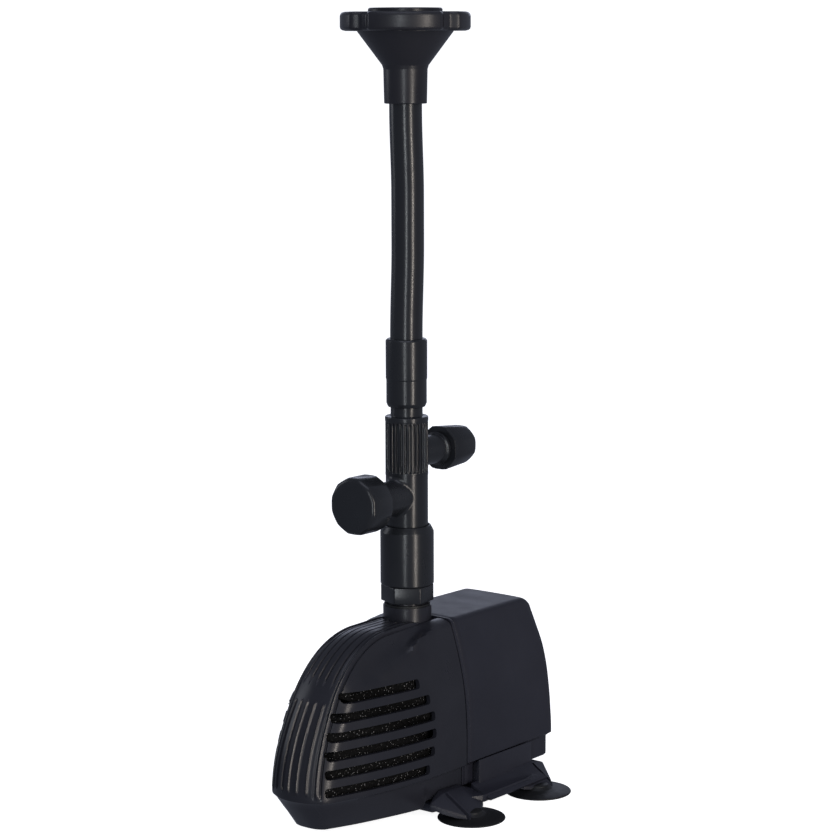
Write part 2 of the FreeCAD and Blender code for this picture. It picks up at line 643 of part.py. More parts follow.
def make_flow_knob():
    """Eight-sided knob, slimmer at its far end, pushed onto the spindle."""
    body = new_body("flow_knob")
    near = outline(body, "XZ_Plane", polygon_points(8, "knob_flats"), "-(knob_start_y)")
    grip = pad(body, near, "knob_end_y - knob_start_y", backwards=True)
    grip.setExpression("TaperAngle", formula("0 - knob_taper"))
    round_edges(body, "2.2", lambda p, e: p.y > size("knob_end_y") - 0.1)
    pocket(body, circles(body, "XZ_Plane", [("0", "0")], "spindle_radius", "-(knob_start_y - 1)"),
           "36 - knob_start_y + 1", backwards=True)
    body.setExpression(".Placement.Base.z", formula("valve_z"))


def make_side_cap():
    """Twelve-sided screw cap that closes the front branch."""
    body = new_body("side_cap")
    mouth = outline(body, "XZ_Plane", polygon_points(12, "2 * cap_radius * 0.975"), "-(cap_mouth_y)")
    pad(body, mouth, "cap_mouth_y - cap_end_y")
    round_edges(body, "1.2", lambda p, e: p.y < size("cap_end_y") + 0.1)
    pocket(body, circles(body, "XZ_Plane", [("0", "0")], "branch_thread + 0.06", "-(cap_mouth_y + 1)"),
           "cap_mouth_y - cap_end_y - 1")
    body.setExpression(".Placement.Base.z", formula("branch_z"))


def make_riser_pieces():
    """Rings, couplings and tube stacked on the riser axis."""
    turned("adapter_seal", tube_points("thread_radius", "thread_radius + 1.5", "spigot_top_z", "nut_z"))
    turned("telescope_seal", tube_points(
        "tee_radius - 1.15", "socket_radius - 0.05", "ring_seat_z + 0.05", "ring_seat_z + 2.35"))
    turned("upper_coupling", [
        ("neck_radius", "coupling_z"), ("coupling_radius - 1", "coupling_z"),
        ("coupling_radius", "coupling_z + 2"), ("coupling_radius", "coupling_top_z - 0.8"),
        ("coupling_radius - 0.8", "coupling_top_z"), ("tube_radius", "coupling_top_z"),
        ("tube_radius", "tube_foot_z"), ("tee_bore", "tube_foot_z"),
        ("tee_bore", "neck_top_z + 1"), ("neck_radius", "neck_top_z + 1")])
    turned("coupling_seal", tube_points("tee_bore + 0.2", "neck_radius", "neck_top_z", "neck_top_z + 1"))
    turned("riser_tube", tube_points("tube_bore", "tube_radius", "tube_foot_z", "tube_top_z"))


# ---------------------------------------------------------------- nozzle

def make_nozzle_bell():
    """Neck that plugs over the tube and opens as a straight cone under the rim."""
    turned("nozzle_bell", [
        ("tube_radius + 0.06", "nozzle_z"), ("nozzle_neck", "nozzle_z"),
        ("nozzle_throat", "nozzle_throat_z"), ("bell_radius", "bell_top_z"),
        ("bell_radius", "rim_top_z - 3"), ("bell_radius - 2.4", "rim_top_z - 3"),
        ("bell_radius - 2.4", "bell_top_z + 0.3"), ("7", "nozzle_throat_z - 1"),
        ("7", "tube_top_z + 0.5"), ("tube_radius + 0.06", "tube_top_z + 0.5")])


def make_nozzle_cap():
    """Screwed ring with four lobes; shallow scallops between them give the grip."""
    body = new_body("nozzle_cap")
    revolve(body, outline(body, "XZ_Plane", [
        ("bell_radius", "rim_z"), ("rim_radius - 0.8", "rim_z"), ("rim_radius", "rim_z + 0.8"),
        ("rim_radius", "rim_top_z - 0.8"), ("rim_radius - 0.8", "rim_top_z"),
        ("plate_radius", "rim_top_z"), ("plate_radius", "rim_top_z - 1.5"),
        ("bell_radius", "rim_top_z - 1.5")]))
    scallop = circles(body, "XY_Plane", [("(rim_radius + 8.5) * cos(83.7)", "(rim_radius + 8.5) * sin(83.7)")],
                      "12", "rim_z - 1")
    cut = pocket(body, scallop, "12")
    ring_pattern(body, [cut], "Z_Axis", int(size("lobe_count")))


def make_spray_plate():
    """Raised disc with rings of slanted jet holes round a centre jet."""
    body = new_body("spray_plate")
    revolve(body, outline(body, "XZ_Plane", [
        ("0", "rim_top_z - 2.5"), ("bell_radius - 2.5", "rim_top_z - 2.5"),
        ("bell_radius - 2.5", "rim_top_z - 1.6"), ("plate_radius - 0.1", "rim_top_z - 1.6"),
        ("plate_radius - 0.1", "nozzle_top_z - 0.6"), ("plate_radius - 0.7", "nozzle_top_z"),
        ("0", "nozzle_top_z")]))
    pocket(body, circles(body, "XY_Plane", [("0", "0")], "2.2", "nozzle_top_z - 8"), "12")
    for radius, count in ((8, 8), (14, 12)):
        hole = circles(body, "XY_Plane", [(radius, "0")], "jet_radius", "nozzle_top_z - 8")
        ring_pattern(body, [pocket(body, hole, "12")], "Z_Axis", count)


# ---------------------------------------------------------------- base

def cup_places():
    return [
        ("front_left", "-1 * cup_x", "cup_front_y"), ("front_right", "cup_x", "cup_front_y"),
        ("rear_left", "-1 * cup_x", "cup_rear_y"), ("rear_right", "cup_x", "cup_rear_y")]


def make_base_bracket():
    """Cradle under the housing: plate, two side clips and four ears for the suction cups."""
    body = new_body("base_bracket")
    plate = outline(body, "XY_Plane", [
        ("plate_x", "cup_front_y + 4"), ("plate_x + 4", "cup_front_y + 12"), ("plate_x + 4", "cup_rear_y - 6"),
        ("plate_x", "cup_rear_y + 6"), ("-1 * plate_x", "cup_rear_y + 6"), ("-1 * plate_x - 4", "cup_rear_y - 6"),
        ("-1 * plate_x - 4", "cup_front_y + 12"), ("-1 * plate_x", "cup_front_y + 4")], "plate_bottom_z")
    pad(body, plate, "plate_top_z - plate_bottom_z")
    for side in (1, -1):
        clip = outline(body, "XZ_Plane", [
            ("%d * (skirt_x + 0.3)" % side, "plate_bottom_z"), ("%d * clip_outer" % side, "plate_bottom_z"),
            ("%d * clip_outer" % side, "break_z"), ("%d * (waist_x + 0.3)" % side, "break_z"),
            ("%d * (skirt_x + 0.3)" % side, "skirt_z - 0.2")], "-(clip_front_y)")
        pad(body, clip, "clip_rear_y - clip_front_y", backwards=True)
    places = [(x, y) for _, x, y in cup_places()]
    ears = circles(body, "XY_Plane", places, "ear_radius", "ear_bottom_z")
    pad(body, ears, "ear_top_z - ear_bottom_z")
    round_edges(body, "5", lambda p, e: abs(p.z - size("ear_top_z")) < 0.05 and e.Length > 40)
    arms = plane_sketch(body, "XY_Plane", "plate_bottom_z")
    for side in (1, -1):
        for near, far in (("cup_front_y + 6", "cup_front_y"), ("cup_rear_y - 6", "cup_rear_y")):
            add_polygon(arms, [
                ("%d * (plate_x - 6)" % side, "%s - 5" % near), ("%d * cup_x" % side, "%s - 5" % far),
                ("%d * cup_x" % side, "%s + 5" % far), ("%d * (plate_x - 6)" % side, "%s + 5" % near)])
    pad(body, arms, "ear_bottom_z - plate_bottom_z + 1.5")
    pocket(body, circles(body, "XY_Plane", places, "cup_radius + 0.5", "plate_bottom_z - 1"),
           "7 - plate_bottom_z + 1")
    pocket(body, circles(body, "XY_Plane", places, "6.2", "plate_bottom_z - 1"),
           "ear_bottom_z - plate_bottom_z + 1")
    pocket(body, circles(body, "XY_Plane", places, "cup_stem", "ear_bottom_z - 1"), "6")


def make_suction_cups():
    """Four soft cups, each on a stem plugged up into its ear."""
    for name, across, along in cup_places():
        body = turned("suction_cup_" + name, [
            ("cup_radius - 1", "0"), ("cup_radius", "0"), ("cup_radius", "0.9"), ("9", "4.2"),
            ("5.5", "7"), ("5.5", "ear_bottom_z"), ("cup_stem", "ear_bottom_z"),
            ("cup_stem", "ear_bottom_z + 4.6"), ("0", "ear_bottom_z + 4.6"), ("0", "3.4"), ("6", "2.8")])
        body.setExpression(".Placement.Base.x", formula(across))
        body.setExpression(".Placement.Base.y", formula(along))


def make_cable_entry():
    """Moulded collar in the rear wall with a rubber grommet; the cord itself isn't part of this."""
    turned_along_y("cable_gland", [
        ("grommet_radius", "rear_y - 5"), ("grommet_radius + 1", "rear_y - 5"), ("grommet_radius + 1", "rear_y"),
        ("gland_radius", "rear_y"), ("gland_radius - 0.8", "gland_end_y"), ("grommet_radius", "gland_end_y")],
        "gland_z")
    turned_along_y("cable_grommet", tube_points(
        "cable_radius", "grommet_radius", "rear_y - 5", "gland_end_y - 0.5"), "gland_z")


# ---------------------------------------------------------------- assembly and export

def build_all():
    """Every sub-part, in the order in which they stack."""
    make_motor_housing()
    make_rotor_can()
    core = make_stator_core()
    for side, name in ((1, "right"), (-1, "left")):
        make_bobbin(side, name)
        make_winding(side, name)
    make_potting_resin([core])
    make_shaft_set()
    make_impeller()
    make_pump_chamber()
    make_chamber_cover()
    make_torus("chamber_o_ring", "flange_radius - 4", "1", ("flange_y + 1", "rotor_z"))
    make_chamber_screws()
    make_strainer_cage()
    make_intake_foam()
    make_lower_adapter()
    make_riser_pieces()
    make_tee_body()
    make_valve_spindle()
    turned_along_y("spindle_o_ring", tube_points(
        "spindle_radius - 1.1", "spindle_radius + 0.03", "17.1", "19.1"), "valve_z")
    make_flow_knob()
    make_side_cap()
    turned_along_y("side_cap_washer", tube_points(
        "branch_bore", "branch_thread - 0.2", "cap_end_y + 2.05", "cap_end_y + 3"), "branch_z")
    make_nozzle_bell()
    turned("nozzle_gasket", tube_points("bell_radius - 5", "bell_radius - 2.5", "rim_top_z - 4", "rim_top_z - 2.5"))
    make_spray_plate()
    make_nozzle_cap()
    make_base_bracket()
    make_suction_cups()
    make_cable_entry()
    doc.recompute()


NODES = [
    "motor_housing", "potting_resin", "rotor_can", "stator_core", "coil_bobbin_left",
    "coil_bobbin_right", "coil_winding_left", "coil_winding_right", "ceramic_shaft", "rear_bush",
    "front_bush", "rotor_magnet", "impeller", "pump_chamber", "chamber_cover", "chamber_o_ring",
    "chamber_screws", "adapter_seal", "lower_adapter", "telescope_seal", "tee_body",
    "valve_spindle", "spindle_o_ring", "flow_knob", "side_cap", "side_cap_washer",
    "upper_coupling", "coupling_seal", "riser_tube", "nozzle_bell", "nozzle_gasket",
    "spray_plate", "nozzle_cap", "strainer_cage", "intake_foam", "base_bracket",
    "suction_cup_front_left", "suction_cup_front_right", "suction_cup_rear_left",
    "suction_cup_rear_right", "cable_gland", "cable_grommet",
]


def export_all():
    """Check every object of the document, then write one file for each sub-part."""
    for made in doc.Objects:
        if "Invalid" in made.State or "Error" in made.State:
            raise RuntimeError("%s failed: %s" % (made.Label, made.State))
    os.makedirs("parts", exist_ok=True)
    for node in NODES:
        shape = doc.getObjectsByLabel(node)[0].Shape
        if shape.isNull() or not shape.isValid():
            raise RuntimeError(node + " has no valid shape")
        shape.exportStep("parts/%s.step" % node)
        box = shape.BoundBox
        print("%-26s solids %d  volume %9.1f  x %6.1f..%6.1f  y %6.1f..%6.1f  z %6.1f..%6.1f" % (
            node, len(shape.Solids), shape.Volume, box.XMin, box.XMax, box.YMin, box.YMax, box.ZMin, box.ZMax))


build_all()
export_all()
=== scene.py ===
import json
import math

import bmesh
import bpy
from mathutils import Matrix, Vector, noise


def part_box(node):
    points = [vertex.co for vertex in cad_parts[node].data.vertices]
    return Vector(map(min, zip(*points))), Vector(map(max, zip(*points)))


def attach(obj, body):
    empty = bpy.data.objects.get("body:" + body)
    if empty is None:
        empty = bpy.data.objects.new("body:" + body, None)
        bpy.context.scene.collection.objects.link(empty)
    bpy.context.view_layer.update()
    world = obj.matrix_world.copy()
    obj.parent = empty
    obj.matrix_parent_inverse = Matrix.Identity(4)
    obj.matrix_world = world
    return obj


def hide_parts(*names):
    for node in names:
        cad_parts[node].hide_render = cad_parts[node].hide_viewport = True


# Fountain pump. Shapes are worked out in millimetres in the frame's own axes and written in metres.

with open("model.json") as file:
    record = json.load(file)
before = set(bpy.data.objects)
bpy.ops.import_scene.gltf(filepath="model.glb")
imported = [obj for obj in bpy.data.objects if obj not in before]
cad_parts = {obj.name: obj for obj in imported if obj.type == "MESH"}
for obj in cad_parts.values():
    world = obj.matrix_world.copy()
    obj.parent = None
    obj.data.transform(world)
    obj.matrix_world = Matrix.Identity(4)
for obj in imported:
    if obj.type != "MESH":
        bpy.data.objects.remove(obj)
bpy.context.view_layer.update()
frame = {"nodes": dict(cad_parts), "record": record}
MM = 0.001


def box_mm(node):
    low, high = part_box(node)
    return [v / MM for v in low], [v / MM for v in high]


# ---------------------------------------------------------------- mesh helpers

def piece(name, verts, faces, sharp=35.0):
    """Mesh object from millimetre points, normals outward, smooth except over sharp edges."""
    mesh = bpy.data.meshes.new(name)
    mesh.from_pydata([(x * MM, y * MM, z * MM) for x, y, z in verts], [], faces)
    obj = bpy.data.objects.new(name, mesh)
    bpy.context.scene.collection.objects.link(obj)
    tidy_mesh(obj, sharp)
    return obj


def tidy_mesh(obj, sharp=35.0, merge=0.002):
    """Merge doubles, turn the normals outward and smooth all but the sharp edges."""
    bm = bmesh.new()
    bm.from_mesh(obj.data)
    bmesh.ops.remove_doubles(bm, verts=bm.verts, dist=merge * MM)
    bmesh.ops.dissolve_degenerate(bm, edges=bm.edges, dist=merge * MM)
    bmesh.ops.recalc_face_normals(bm, faces=bm.faces)
    middle = sum((v.co for v in bm.verts), Vector()) / len(bm.verts)
    if sum((f.calc_center_median() - middle).dot(f.normal) * f.calc_area() for f in bm.faces) < 0:
        bmesh.ops.reverse_faces(bm, faces=bm.faces)
    bm.to_mesh(obj.data)
    bm.free()
    obj.data.polygons.foreach_set("use_smooth", [True] * len(obj.data.polygons))
    obj.data.set_sharp_from_angle(angle=math.radians(sharp))
    obj.data.update()


def apply_modifiers(obj):
    """Bake the modifier stack into the mesh."""
    bpy.context.view_layer.update()
    evaluated = obj.evaluated_get(bpy.context.evaluated_depsgraph_get())
    mesh = bpy.data.meshes.new_from_object(evaluated)
    old = obj.data
    obj.modifiers.clear()
    obj.data = mesh
    mesh.name = obj.name
    bpy.data.meshes.remove(old)


def boolean(obj, tool, operation="DIFFERENCE", folded=False):
    """Cut or unite two closed shells; folded copes with skins that touch themselves."""
    modifier = obj.modifiers.new("cut", "BOOLEAN")
    modifier.operation = operation
    modifier.solver = "EXACT"
    modifier.use_self = folded
    modifier.object = tool
    apply_modifiers(obj)
    mesh = tool.data
    bpy.data.objects.remove(tool)
    bpy.data.meshes.remove(mesh)


def bevelled(obj, width, segments=3, angle=30.0):
    """Round the edges that are sharper than the angle."""
    modifier = obj.modifiers.new("edges", "BEVEL")
    modifier.width = width * MM
    modifier.segments = segments
    modifier.limit_method = "ANGLE"
    modifier.angle_limit = math.radians(angle)
    modifier.harden_normals = False
    apply_modifiers(obj)
    tidy_mesh(obj, 40.0, 0.0005)


def softened(points, radius, steps=5, closed=False):
    """Run of (a, b) points whose corners are replaced by arcs; radius is one value or one per point."""
    radii = radius if isinstance(radius, (list, tuple)) else [radius] * len(points)
    out = []
    for i, point in enumerate(points):
        if not closed and i in (0, len(points) - 1) or radii[i] <= 0:
            out.append(point)
            continue
        p = Vector(point)
        before = Vector(points[i - 1]) - p
        after = Vector(points[(i + 1) % len(points)]) - p
        half = before.angle(after) / 2
        if half > math.radians(89):
            out.append(point)
            continue
        reach = min(radii[i] / math.tan(half), 0.48 * before.length, 0.48 * after.length)
        r = reach * math.tan(half)
        a, b = before.normalized(), after.normalized()
        centre = p + (a + b).normalized() * (r / math.sin(half))
        start, end = p + a * reach - centre, p + b * reach - centre
        sweep = start.angle_signed(end)
        for k in range(steps + 1):
            turn = -sweep * k / steps
            out.append((
                centre.x + start.x * math.cos(turn) - start.y * math.sin(turn),
                centre.y + start.x * math.sin(turn) + start.y * math.cos(turn)))
    return out


def full_turn(steps):
    """Angles of equal steps round a full turn."""
    return [2 * math.pi * k / steps for k in range(steps)]


def loft(name, rings, sharp=35.0, closed=False, capped=False):
    """Skin over rings of equally many points; closed joins the last to the first, capped fills the ends."""
    n = len(rings[0])
    verts = [point for ring in rings for point in ring]
    faces = []
    for i in range(len(rings) if closed else len(rings) - 1):
        j = (i + 1) % len(rings)
        for k in range(n):
            m = (k + 1) % n
            faces.append((i * n + k, i * n + m, j * n + m, j * n + k))
    if capped:
        faces.append(tuple(len(verts) - n + k for k in range(n)))
        faces.append(tuple(range(n - 1, -1, -1)))
    return piece(name, verts, faces, sharp)


def lathe(name, profile, steps=96, closed=False, place=None, sharp=35.0):
    """Turned piece from (radius, height) points; place maps (x, y, z) of the turning frame to the part's."""
    place = place or (lambda x, y, z: (x, y, z))
    rings = [[place(r * math.cos(a), r * math.sin(a), h) for a in full_turn(steps)] for r, h in profile]
    return loft(name, rings, sharp, closed)


def along_y(y0, z0, sign):
    """Turning frame whose height runs along sign * Y from (0, y0, z0)."""
    return lambda x, y, h: (x, y0 + sign * h, z0 + y)


def hull(name, points, sharp=35.0):
    """Smallest convex piece round the points."""
    bm = bmesh.new()
    for x, y, z in points:
        bm.verts.new((x * MM, y * MM, z * MM))
    result = bmesh.ops.convex_hull(bm, input=bm.verts)
    spare = {g for g in result["geom_interior"] + result["geom_unused"] if isinstance(g, bmesh.types.BMVert)}
    bmesh.ops.delete(bm, geom=sorted(spare, key=lambda v: v.index), context="VERTS")
    mesh = bpy.data.meshes.new(name)
    bm.to_mesh(mesh)
    bm.free()
    obj = bpy.data.objects.new(name, mesh)
    bpy.context.scene.collection.objects.link(obj)
    tidy_mesh(obj, sharp)
    return obj


def prism(name, outline, low, high, axis="X"):
    """Straight prism: outline is (a, b) points in the plane across the axis."""
    def put(a, b, c):
        return {"X": (c, a, b), "Y": (a, c, b), "Z": (a, b, c)}[axis]
    n = len(outline)
    verts = [put(a, b, low) for a, b in outline] + [put(a, b, high) for a, b in outline]
    faces = [tuple(range(n)), tuple(range(2 * n - 1, n - 1, -1))]
    faces += [(i, (i + 1) % n, n + (i + 1) % n, n + i) for i in range(n)]
    return piece(name, verts, faces)


def join(objects, name):
    """Closed shells united into one piece."""
    base = objects[0]
    for other in objects[1:]:
        boolean(base, other, "UNION")
    base.name = name
    base.data.name = name
    tidy_mesh(base, 35.0, 0.0005)
    return base


def ramp(value, knots):
    """Smooth curve through (position, value) knots."""
    if value <= knots[0][0]:
        return knots[0][1]
    if value >= knots[-1][0]:
        return knots[-1][1]
    slopes = []
    for i in range(len(knots)):
        a, b = knots[max(i - 1, 0)], knots[min(i + 1, len(knots) - 1)]
        slopes.append((b[1] - a[1]) / (b[0] - a[0]))
    for i in range(len(knots) - 1):
        (x0, y0), (x1, y1) = knots[i], knots[i + 1]
        if value <= x1:
            h = x1 - x0
            t = (value - x0) / h
            return (
                (1 + 2 * t) * (1 - t) ** 2 * y0 + t * (1 - t) ** 2 * h * slopes[i]
                + t * t * (3 - 2 * t) * y1 + t * t * (t - 1) * h * slopes[i + 1])
    return knots[-1][1]


def step_up(value, start, end):
    """Smooth step from 0 at start to 1 at end."""
    t = min(max((value - start) / (end - start), 0.0), 1.0)
    return t * t * (3 - 2 * t)


def bump_at(distance, width):
    """Rounded ridge profile, 1 at the middle and 0 beyond its half-width."""
    t = abs(distance) / width
    return 0.0 if t >= 1 else 0.5 + 0.5 * math.cos(math.pi * t)


# ---------------------------------------------------------------- materials

def new_material(name):
    """Material with its nodes, links, shader and object coordinates."""
    material = bpy.data.materials.new(name)
    material.use_nodes = True
    nodes = material.node_tree.nodes
    shader = nodes["Principled BSDF"]
    coordinates = nodes.new("ShaderNodeTexCoord").outputs["Object"]
    return material, nodes, material.node_tree.links, shader, coordinates


def noise_node(nodes, links, vector, scale, detail=3.0, roughness=0.55, stretch=None):
    if stretch:
        mapping = nodes.new("ShaderNodeMapping")
        mapping.inputs["Scale"].default_value = stretch
        links.new(vector, mapping.inputs["Vector"])
        vector = mapping.outputs["Vector"]
    node = nodes.new("ShaderNodeTexNoise")
    node.inputs["Scale"].default_value = scale
    node.inputs["Detail"].default_value = detail
    node.inputs["Roughness"].default_value = roughness
    links.new(vector, node.inputs["Vector"])
    return node.outputs["Fac"]


def spread(nodes, links, value, low, high, to_low, to_high):
    """Map a value from one range to another."""
    node = nodes.new("ShaderNodeMapRange")
    for socket, number in zip(("From Min", "From Max", "To Min", "To Max"), (low, high, to_low, to_high)):
        node.inputs[socket].default_value = number
    links.new(value, node.inputs["Value"])
    return node.outputs["Result"]


def two_tone(nodes, links, value, dark, light, low=0.3, high=0.7):
    """Colour that runs from dark at the low value to light at the high one."""
    node = nodes.new("ShaderNodeValToRGB")
    node.color_ramp.elements[0].position = low
    node.color_ramp.elements[0].color = (*dark, 1)
    node.color_ramp.elements[1].position = high
    node.color_ramp.elements[1].color = (*light, 1)
    links.new(value, node.inputs["Fac"])
    return node.outputs["Color"]


def raised(nodes, links, shader, height, distance):
    """Bump the surface by a height field; distance is in metres."""
    node = nodes.new("ShaderNodeBump")
    node.inputs["Distance"].default_value = distance
    node.inputs["Strength"].default_value = 1.0
    links.new(height, node.inputs["Height"])
    links.new(node.outputs["Normal"], shader.inputs["Normal"])


def plastic(name, dark, light, rough=(0.34, 0.46), grain=1100.0, bump=0.000012, gloss=0.35, stretch=None):
    """Moulded plastic: faint cloudy tone, flow marks in the gloss, and a fine spark-eroded grain."""
    material, nodes, links, shader, at = new_material(name)
    cloud = noise_node(nodes, links, at, 22.0, 4.0, 0.6, stretch)
    links.new(two_tone(nodes, links, cloud, dark, light), shader.inputs["Base Color"])
    flow = noise_node(nodes, links, at, 60.0, 5.0, 0.65, stretch or (1.0, 1.0, 0.35))
    links.new(spread(nodes, links, flow, 0.3, 0.7, *rough), shader.inputs["Roughness"])
    fine = noise_node(nodes, links, at, grain, 2.0, 0.5, stretch)
    raised(nodes, links, shader, fine, bump)
    shader.inputs["Specular IOR Level"].default_value = gloss
    return material


def foam_material():
    """Open-cell filter foam: black, with a painted glint, a small bright speck coloured into the middle of
    each cell.
    """
    material, nodes, links, shader, at = new_material("foam_black")
    cells = nodes.new("ShaderNodeTexVoronoi")
    cells.inputs["Scale"].default_value = 750.0
    links.new(at, cells.inputs["Vector"])
    distance = cells.outputs["Distance"]
    # painted glint: colour runs from bright at each cell's middle to near black at its edge, standing in for
    # light caught by the foam
    tone = two_tone(nodes, links, distance, (0.19, 0.19, 0.195), (0.0020, 0.0020, 0.0022), 0.10, 0.22)
    links.new(tone, shader.inputs["Base Color"])
    links.new(spread(nodes, links, distance, 0.1, 0.5, 0.3, 0.8), shader.inputs["Roughness"])
    raised(nodes, links, shader, distance, 0.0005)
    shader.inputs["Specular IOR Level"].default_value = 0.12
    return material


def metal(name, dark, light, rough, scale, stretch):
    """Brushed, wound or laminated metal: streaks along one axis."""
    material, nodes, links, shader, at = new_material(name)
    streak = noise_node(nodes, links, at, scale, 3.0, 0.6, stretch)
    links.new(two_tone(nodes, links, streak, dark, light), shader.inputs["Base Color"])
    links.new(spread(nodes, links, streak, 0.3, 0.7, rough - 0.06, rough + 0.08), shader.inputs["Roughness"])
    raised(nodes, links, shader, streak, 0.00006)
    shader.inputs["Metallic"].default_value = 1.0
    return material


MATERIALS = {
    "housing_plastic": plastic("housing_black", (0.0110, 0.0115, 0.0175), (0.0155, 0.0162, 0.0240)),
    "cage_plastic": plastic("cage_black", (0.0105, 0.0110, 0.0150), (0.0150, 0.0156, 0.0210), (0.26, 0.36)),
    "fitting_plastic": plastic(
        "fitting_black", (0.0095, 0.0105, 0.0130), (0.0140, 0.0155, 0.0185), (0.20, 0.30)),
    "tube_plastic": plastic(
        "tube_black", (0.0100, 0.0110, 0.0135), (0.0150, 0.0165, 0.0195), (0.20, 0.28),
        500.0, 0.00002, 0.4, (1.0, 1.0, 0.05)),
    "nozzle_plastic": plastic(
        "nozzle_black", (0.0110, 0.0112, 0.0150), (0.0165, 0.0168, 0.0215), (0.26, 0.40)),
    "inner_plastic": plastic("inner_black", (0.012, 0.012, 0.013), (0.022, 0.022, 0.024), (0.45, 0.6)),
    "rubber": plastic(
        "rubber_black", (0.0055, 0.0058, 0.0064), (0.0095, 0.0100, 0.0108), (0.36, 0.55),
        1400.0, 0.00002, 0.3),
    "foam": foam_material(),
    "resin": plastic("resin_dark", (0.010, 0.010, 0.012), (0.025, 0.025, 0.028), (0.25, 0.35), 90.0, 0.0002),
    "lamination_steel": metal(
        "lamination_steel", (0.16, 0.16, 0.17), (0.42, 0.42, 0.43), 0.42, 40.0, (1, 60, 1)),
    "copper_wire": metal("copper_wire", (0.30, 0.09, 0.03), (0.75, 0.30, 0.12), 0.3, 40.0, (1, 1, 60)),
    "bright_steel": metal("bright_steel", (0.45, 0.45, 0.46), (0.68, 0.68, 0.70), 0.25, 300.0, (1, 1, 1)),
    "white_ceramic": plastic(
        "white_ceramic", (0.70, 0.69, 0.66), (0.80, 0.79, 0.77), (0.15, 0.25), 900.0, 0.00001, 0.5),
    "ferrite": plastic(
        "ferrite_grey", (0.035, 0.035, 0.038), (0.07, 0.07, 0.075), (0.4, 0.6), 1200.0, 0.00005, 0.5),
}


def set_up(obj, body, slot, *nodes):
    """Give a piece its material, its body and the CAD nodes it stands for."""
    obj.data.materials.clear()
    obj.data.materials.append(MATERIALS[slot])
    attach(obj, body)
    if nodes:
        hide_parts(*nodes)
    return obj

# ---------------------------------------------------------------- strainer cage

housing_low, housing_high = box_mm("motor_housing")
cage_low, cage_high = box_mm("strainer_cage")
PARTING_Y = housing_low[1]
ROOF_Z = cage_high[2]
WAIST_X = cage_high[0]
NOSE_Y = cage_low[1]
KEEL_Z = cage_low[2]
BREAK_Z = 23.0
NOSE_CENTRE_Y = -30.0
SKIRT_END_Y = -20.0
RECESS_Z = housing_low[2]
RECESS_X = WAIST_X - 3.5

# Slices fan out from a hinge line at the break and the parting plane. Each knot list gives, by the
# slice's angle, how far out (share of the centre line's distance) and how wide a feature line runs.
LINES = [
    ("edge",
     [(0, .993), (16, .992), (30, .984), (45, .979), (58, .972), (70, .962), (80, .956), (90, .952)],
     [(0, 12.0), (16, 10.6), (30, 11.0), (45, 12.2), (58, 13.0), (70, 13.8), (80, 14.3), (90, 14.6)]),
    ("scoop",
     [(0, .990), (8, .980), (16, .946), (30, .885), (45, .893), (58, .945), (70, .944), (90, .938)],
     [(0, 16.8), (8, 16.2), (16, 15.2), (30, 14.0), (45, 14.9), (58, 15.4), (70, 15.8), (90, 16.2)]),
    ("ridge",
     [(0, .966), (10, .957), (20, .922), (30, .832), (45, .818), (51, .855), (58, .905), (65, .915),
      (90, .905)],
     [(0, 20.4), (20, 20.6), (30, 20.9), (45, 20.6), (51, 19.9), (58, 19.0), (70, 18.4), (90, 18.1)]),
    ("belly", [(0, .72), (45, .68), (90, .72)], [(0, 26.0), (45, 25.2), (90, 23.8)]),
    ("flank", [(0, .50), (90, .50)], [(0, 29.2), (90, 28.3)]),
    ("waist", [(0, .24), (90, .30)], [(0, 30.6), (90, 30.6)]),
]
SCOOP_LINE = 1
STRIP_STEPS = 60
NEAR = 3.0
RIB_START, RIB_END = 61.5, 88.5
GROOVE_START, GROOVE_END = 11.0, 56.5
RIB_HEIGHT, GROOVE_DEPTH, LINE_HALF = 1.0, 1.1, 0.6
KEEL_LINE = [(-75.0, 9.5), (-66.0, 13.2), (-56.0, 16.8), (-33.0, 23.2), (-16.0, 26.6)]
NOSE_FLAT_X = 12.0
SLOT_ENDS = [(-20.5, -83.2), (-16.5, -82.6), (-14.8, -81.0), (-15.0, -78.6), (-17.5, -75.0), (-23.0, -69.0)]
SLOT_Z, SLOT_PITCH, SLOT_HALF = 27.0, 8.6, 2.35
CAGE_WALL = 2.2
CAGE_NOTCH_R, HOUSING_NOTCH_R = 12.6, 12.2


def crest(angle):
    """Distance from the hinge to the centre line of the roof and nose."""
    return nose_ellipse(angle) * (1 + 0.032 * step_up(math.degrees(angle), 62, 90))


def nose_ellipse(angle):
    s, c = math.sin(angle), math.cos(angle)
    height = ROOF_Z - BREAK_Z
    back = PARTING_Y - NOSE_CENTRE_Y
    if s * height <= back * c:
        return height / c
    reach = NOSE_CENTRE_Y - NOSE_Y
    a = (s / reach) ** 2 + (c / height) ** 2
    b = back * s / reach ** 2
    k = (back / reach) ** 2 - 1
    return (b + math.sqrt(b * b - a * k)) / a


def flank_curve(degrees, far):
    """Polyline points (x, r) of a slice from the strip's edge to the hinge line, finely spaced."""
    knots = [(ramp(degrees, xs), ramp(degrees, ts) * far) for _, ts, xs in LINES]
    knots.append((WAIST_X, 0.0))
    points = []
    last = len(knots) - 1
    crisp = 0.45
    for i in range(last):
        p0, p1, p2, p3 = (Vector(knots[min(max(k, 0), last)]) for k in (i - 1, i, i + 1, i + 2))
        h = (p2 - p1).length
        m1 = (p2 - p0) / max((p2 - p1).length + (p1 - p0).length, 1e-6) * h
        m2 = (p3 - p1) / max((p3 - p2).length + (p2 - p1).length, 1e-6) * h
        m1 *= crisp if i == SCOOP_LINE + 1 else 1
        m2 *= crisp if i == SCOOP_LINE else 1
        for k in range(24):
            t = k / 24
            points.append((1 + 2 * t) * (1 - t) ** 2 * p1 + t * (1 - t) ** 2 * m1
                          + t * t * (3 - 2 * t) * p2 + t * t * (t - 1) * m2)
    points.append(Vector(knots[-1]))
    return points


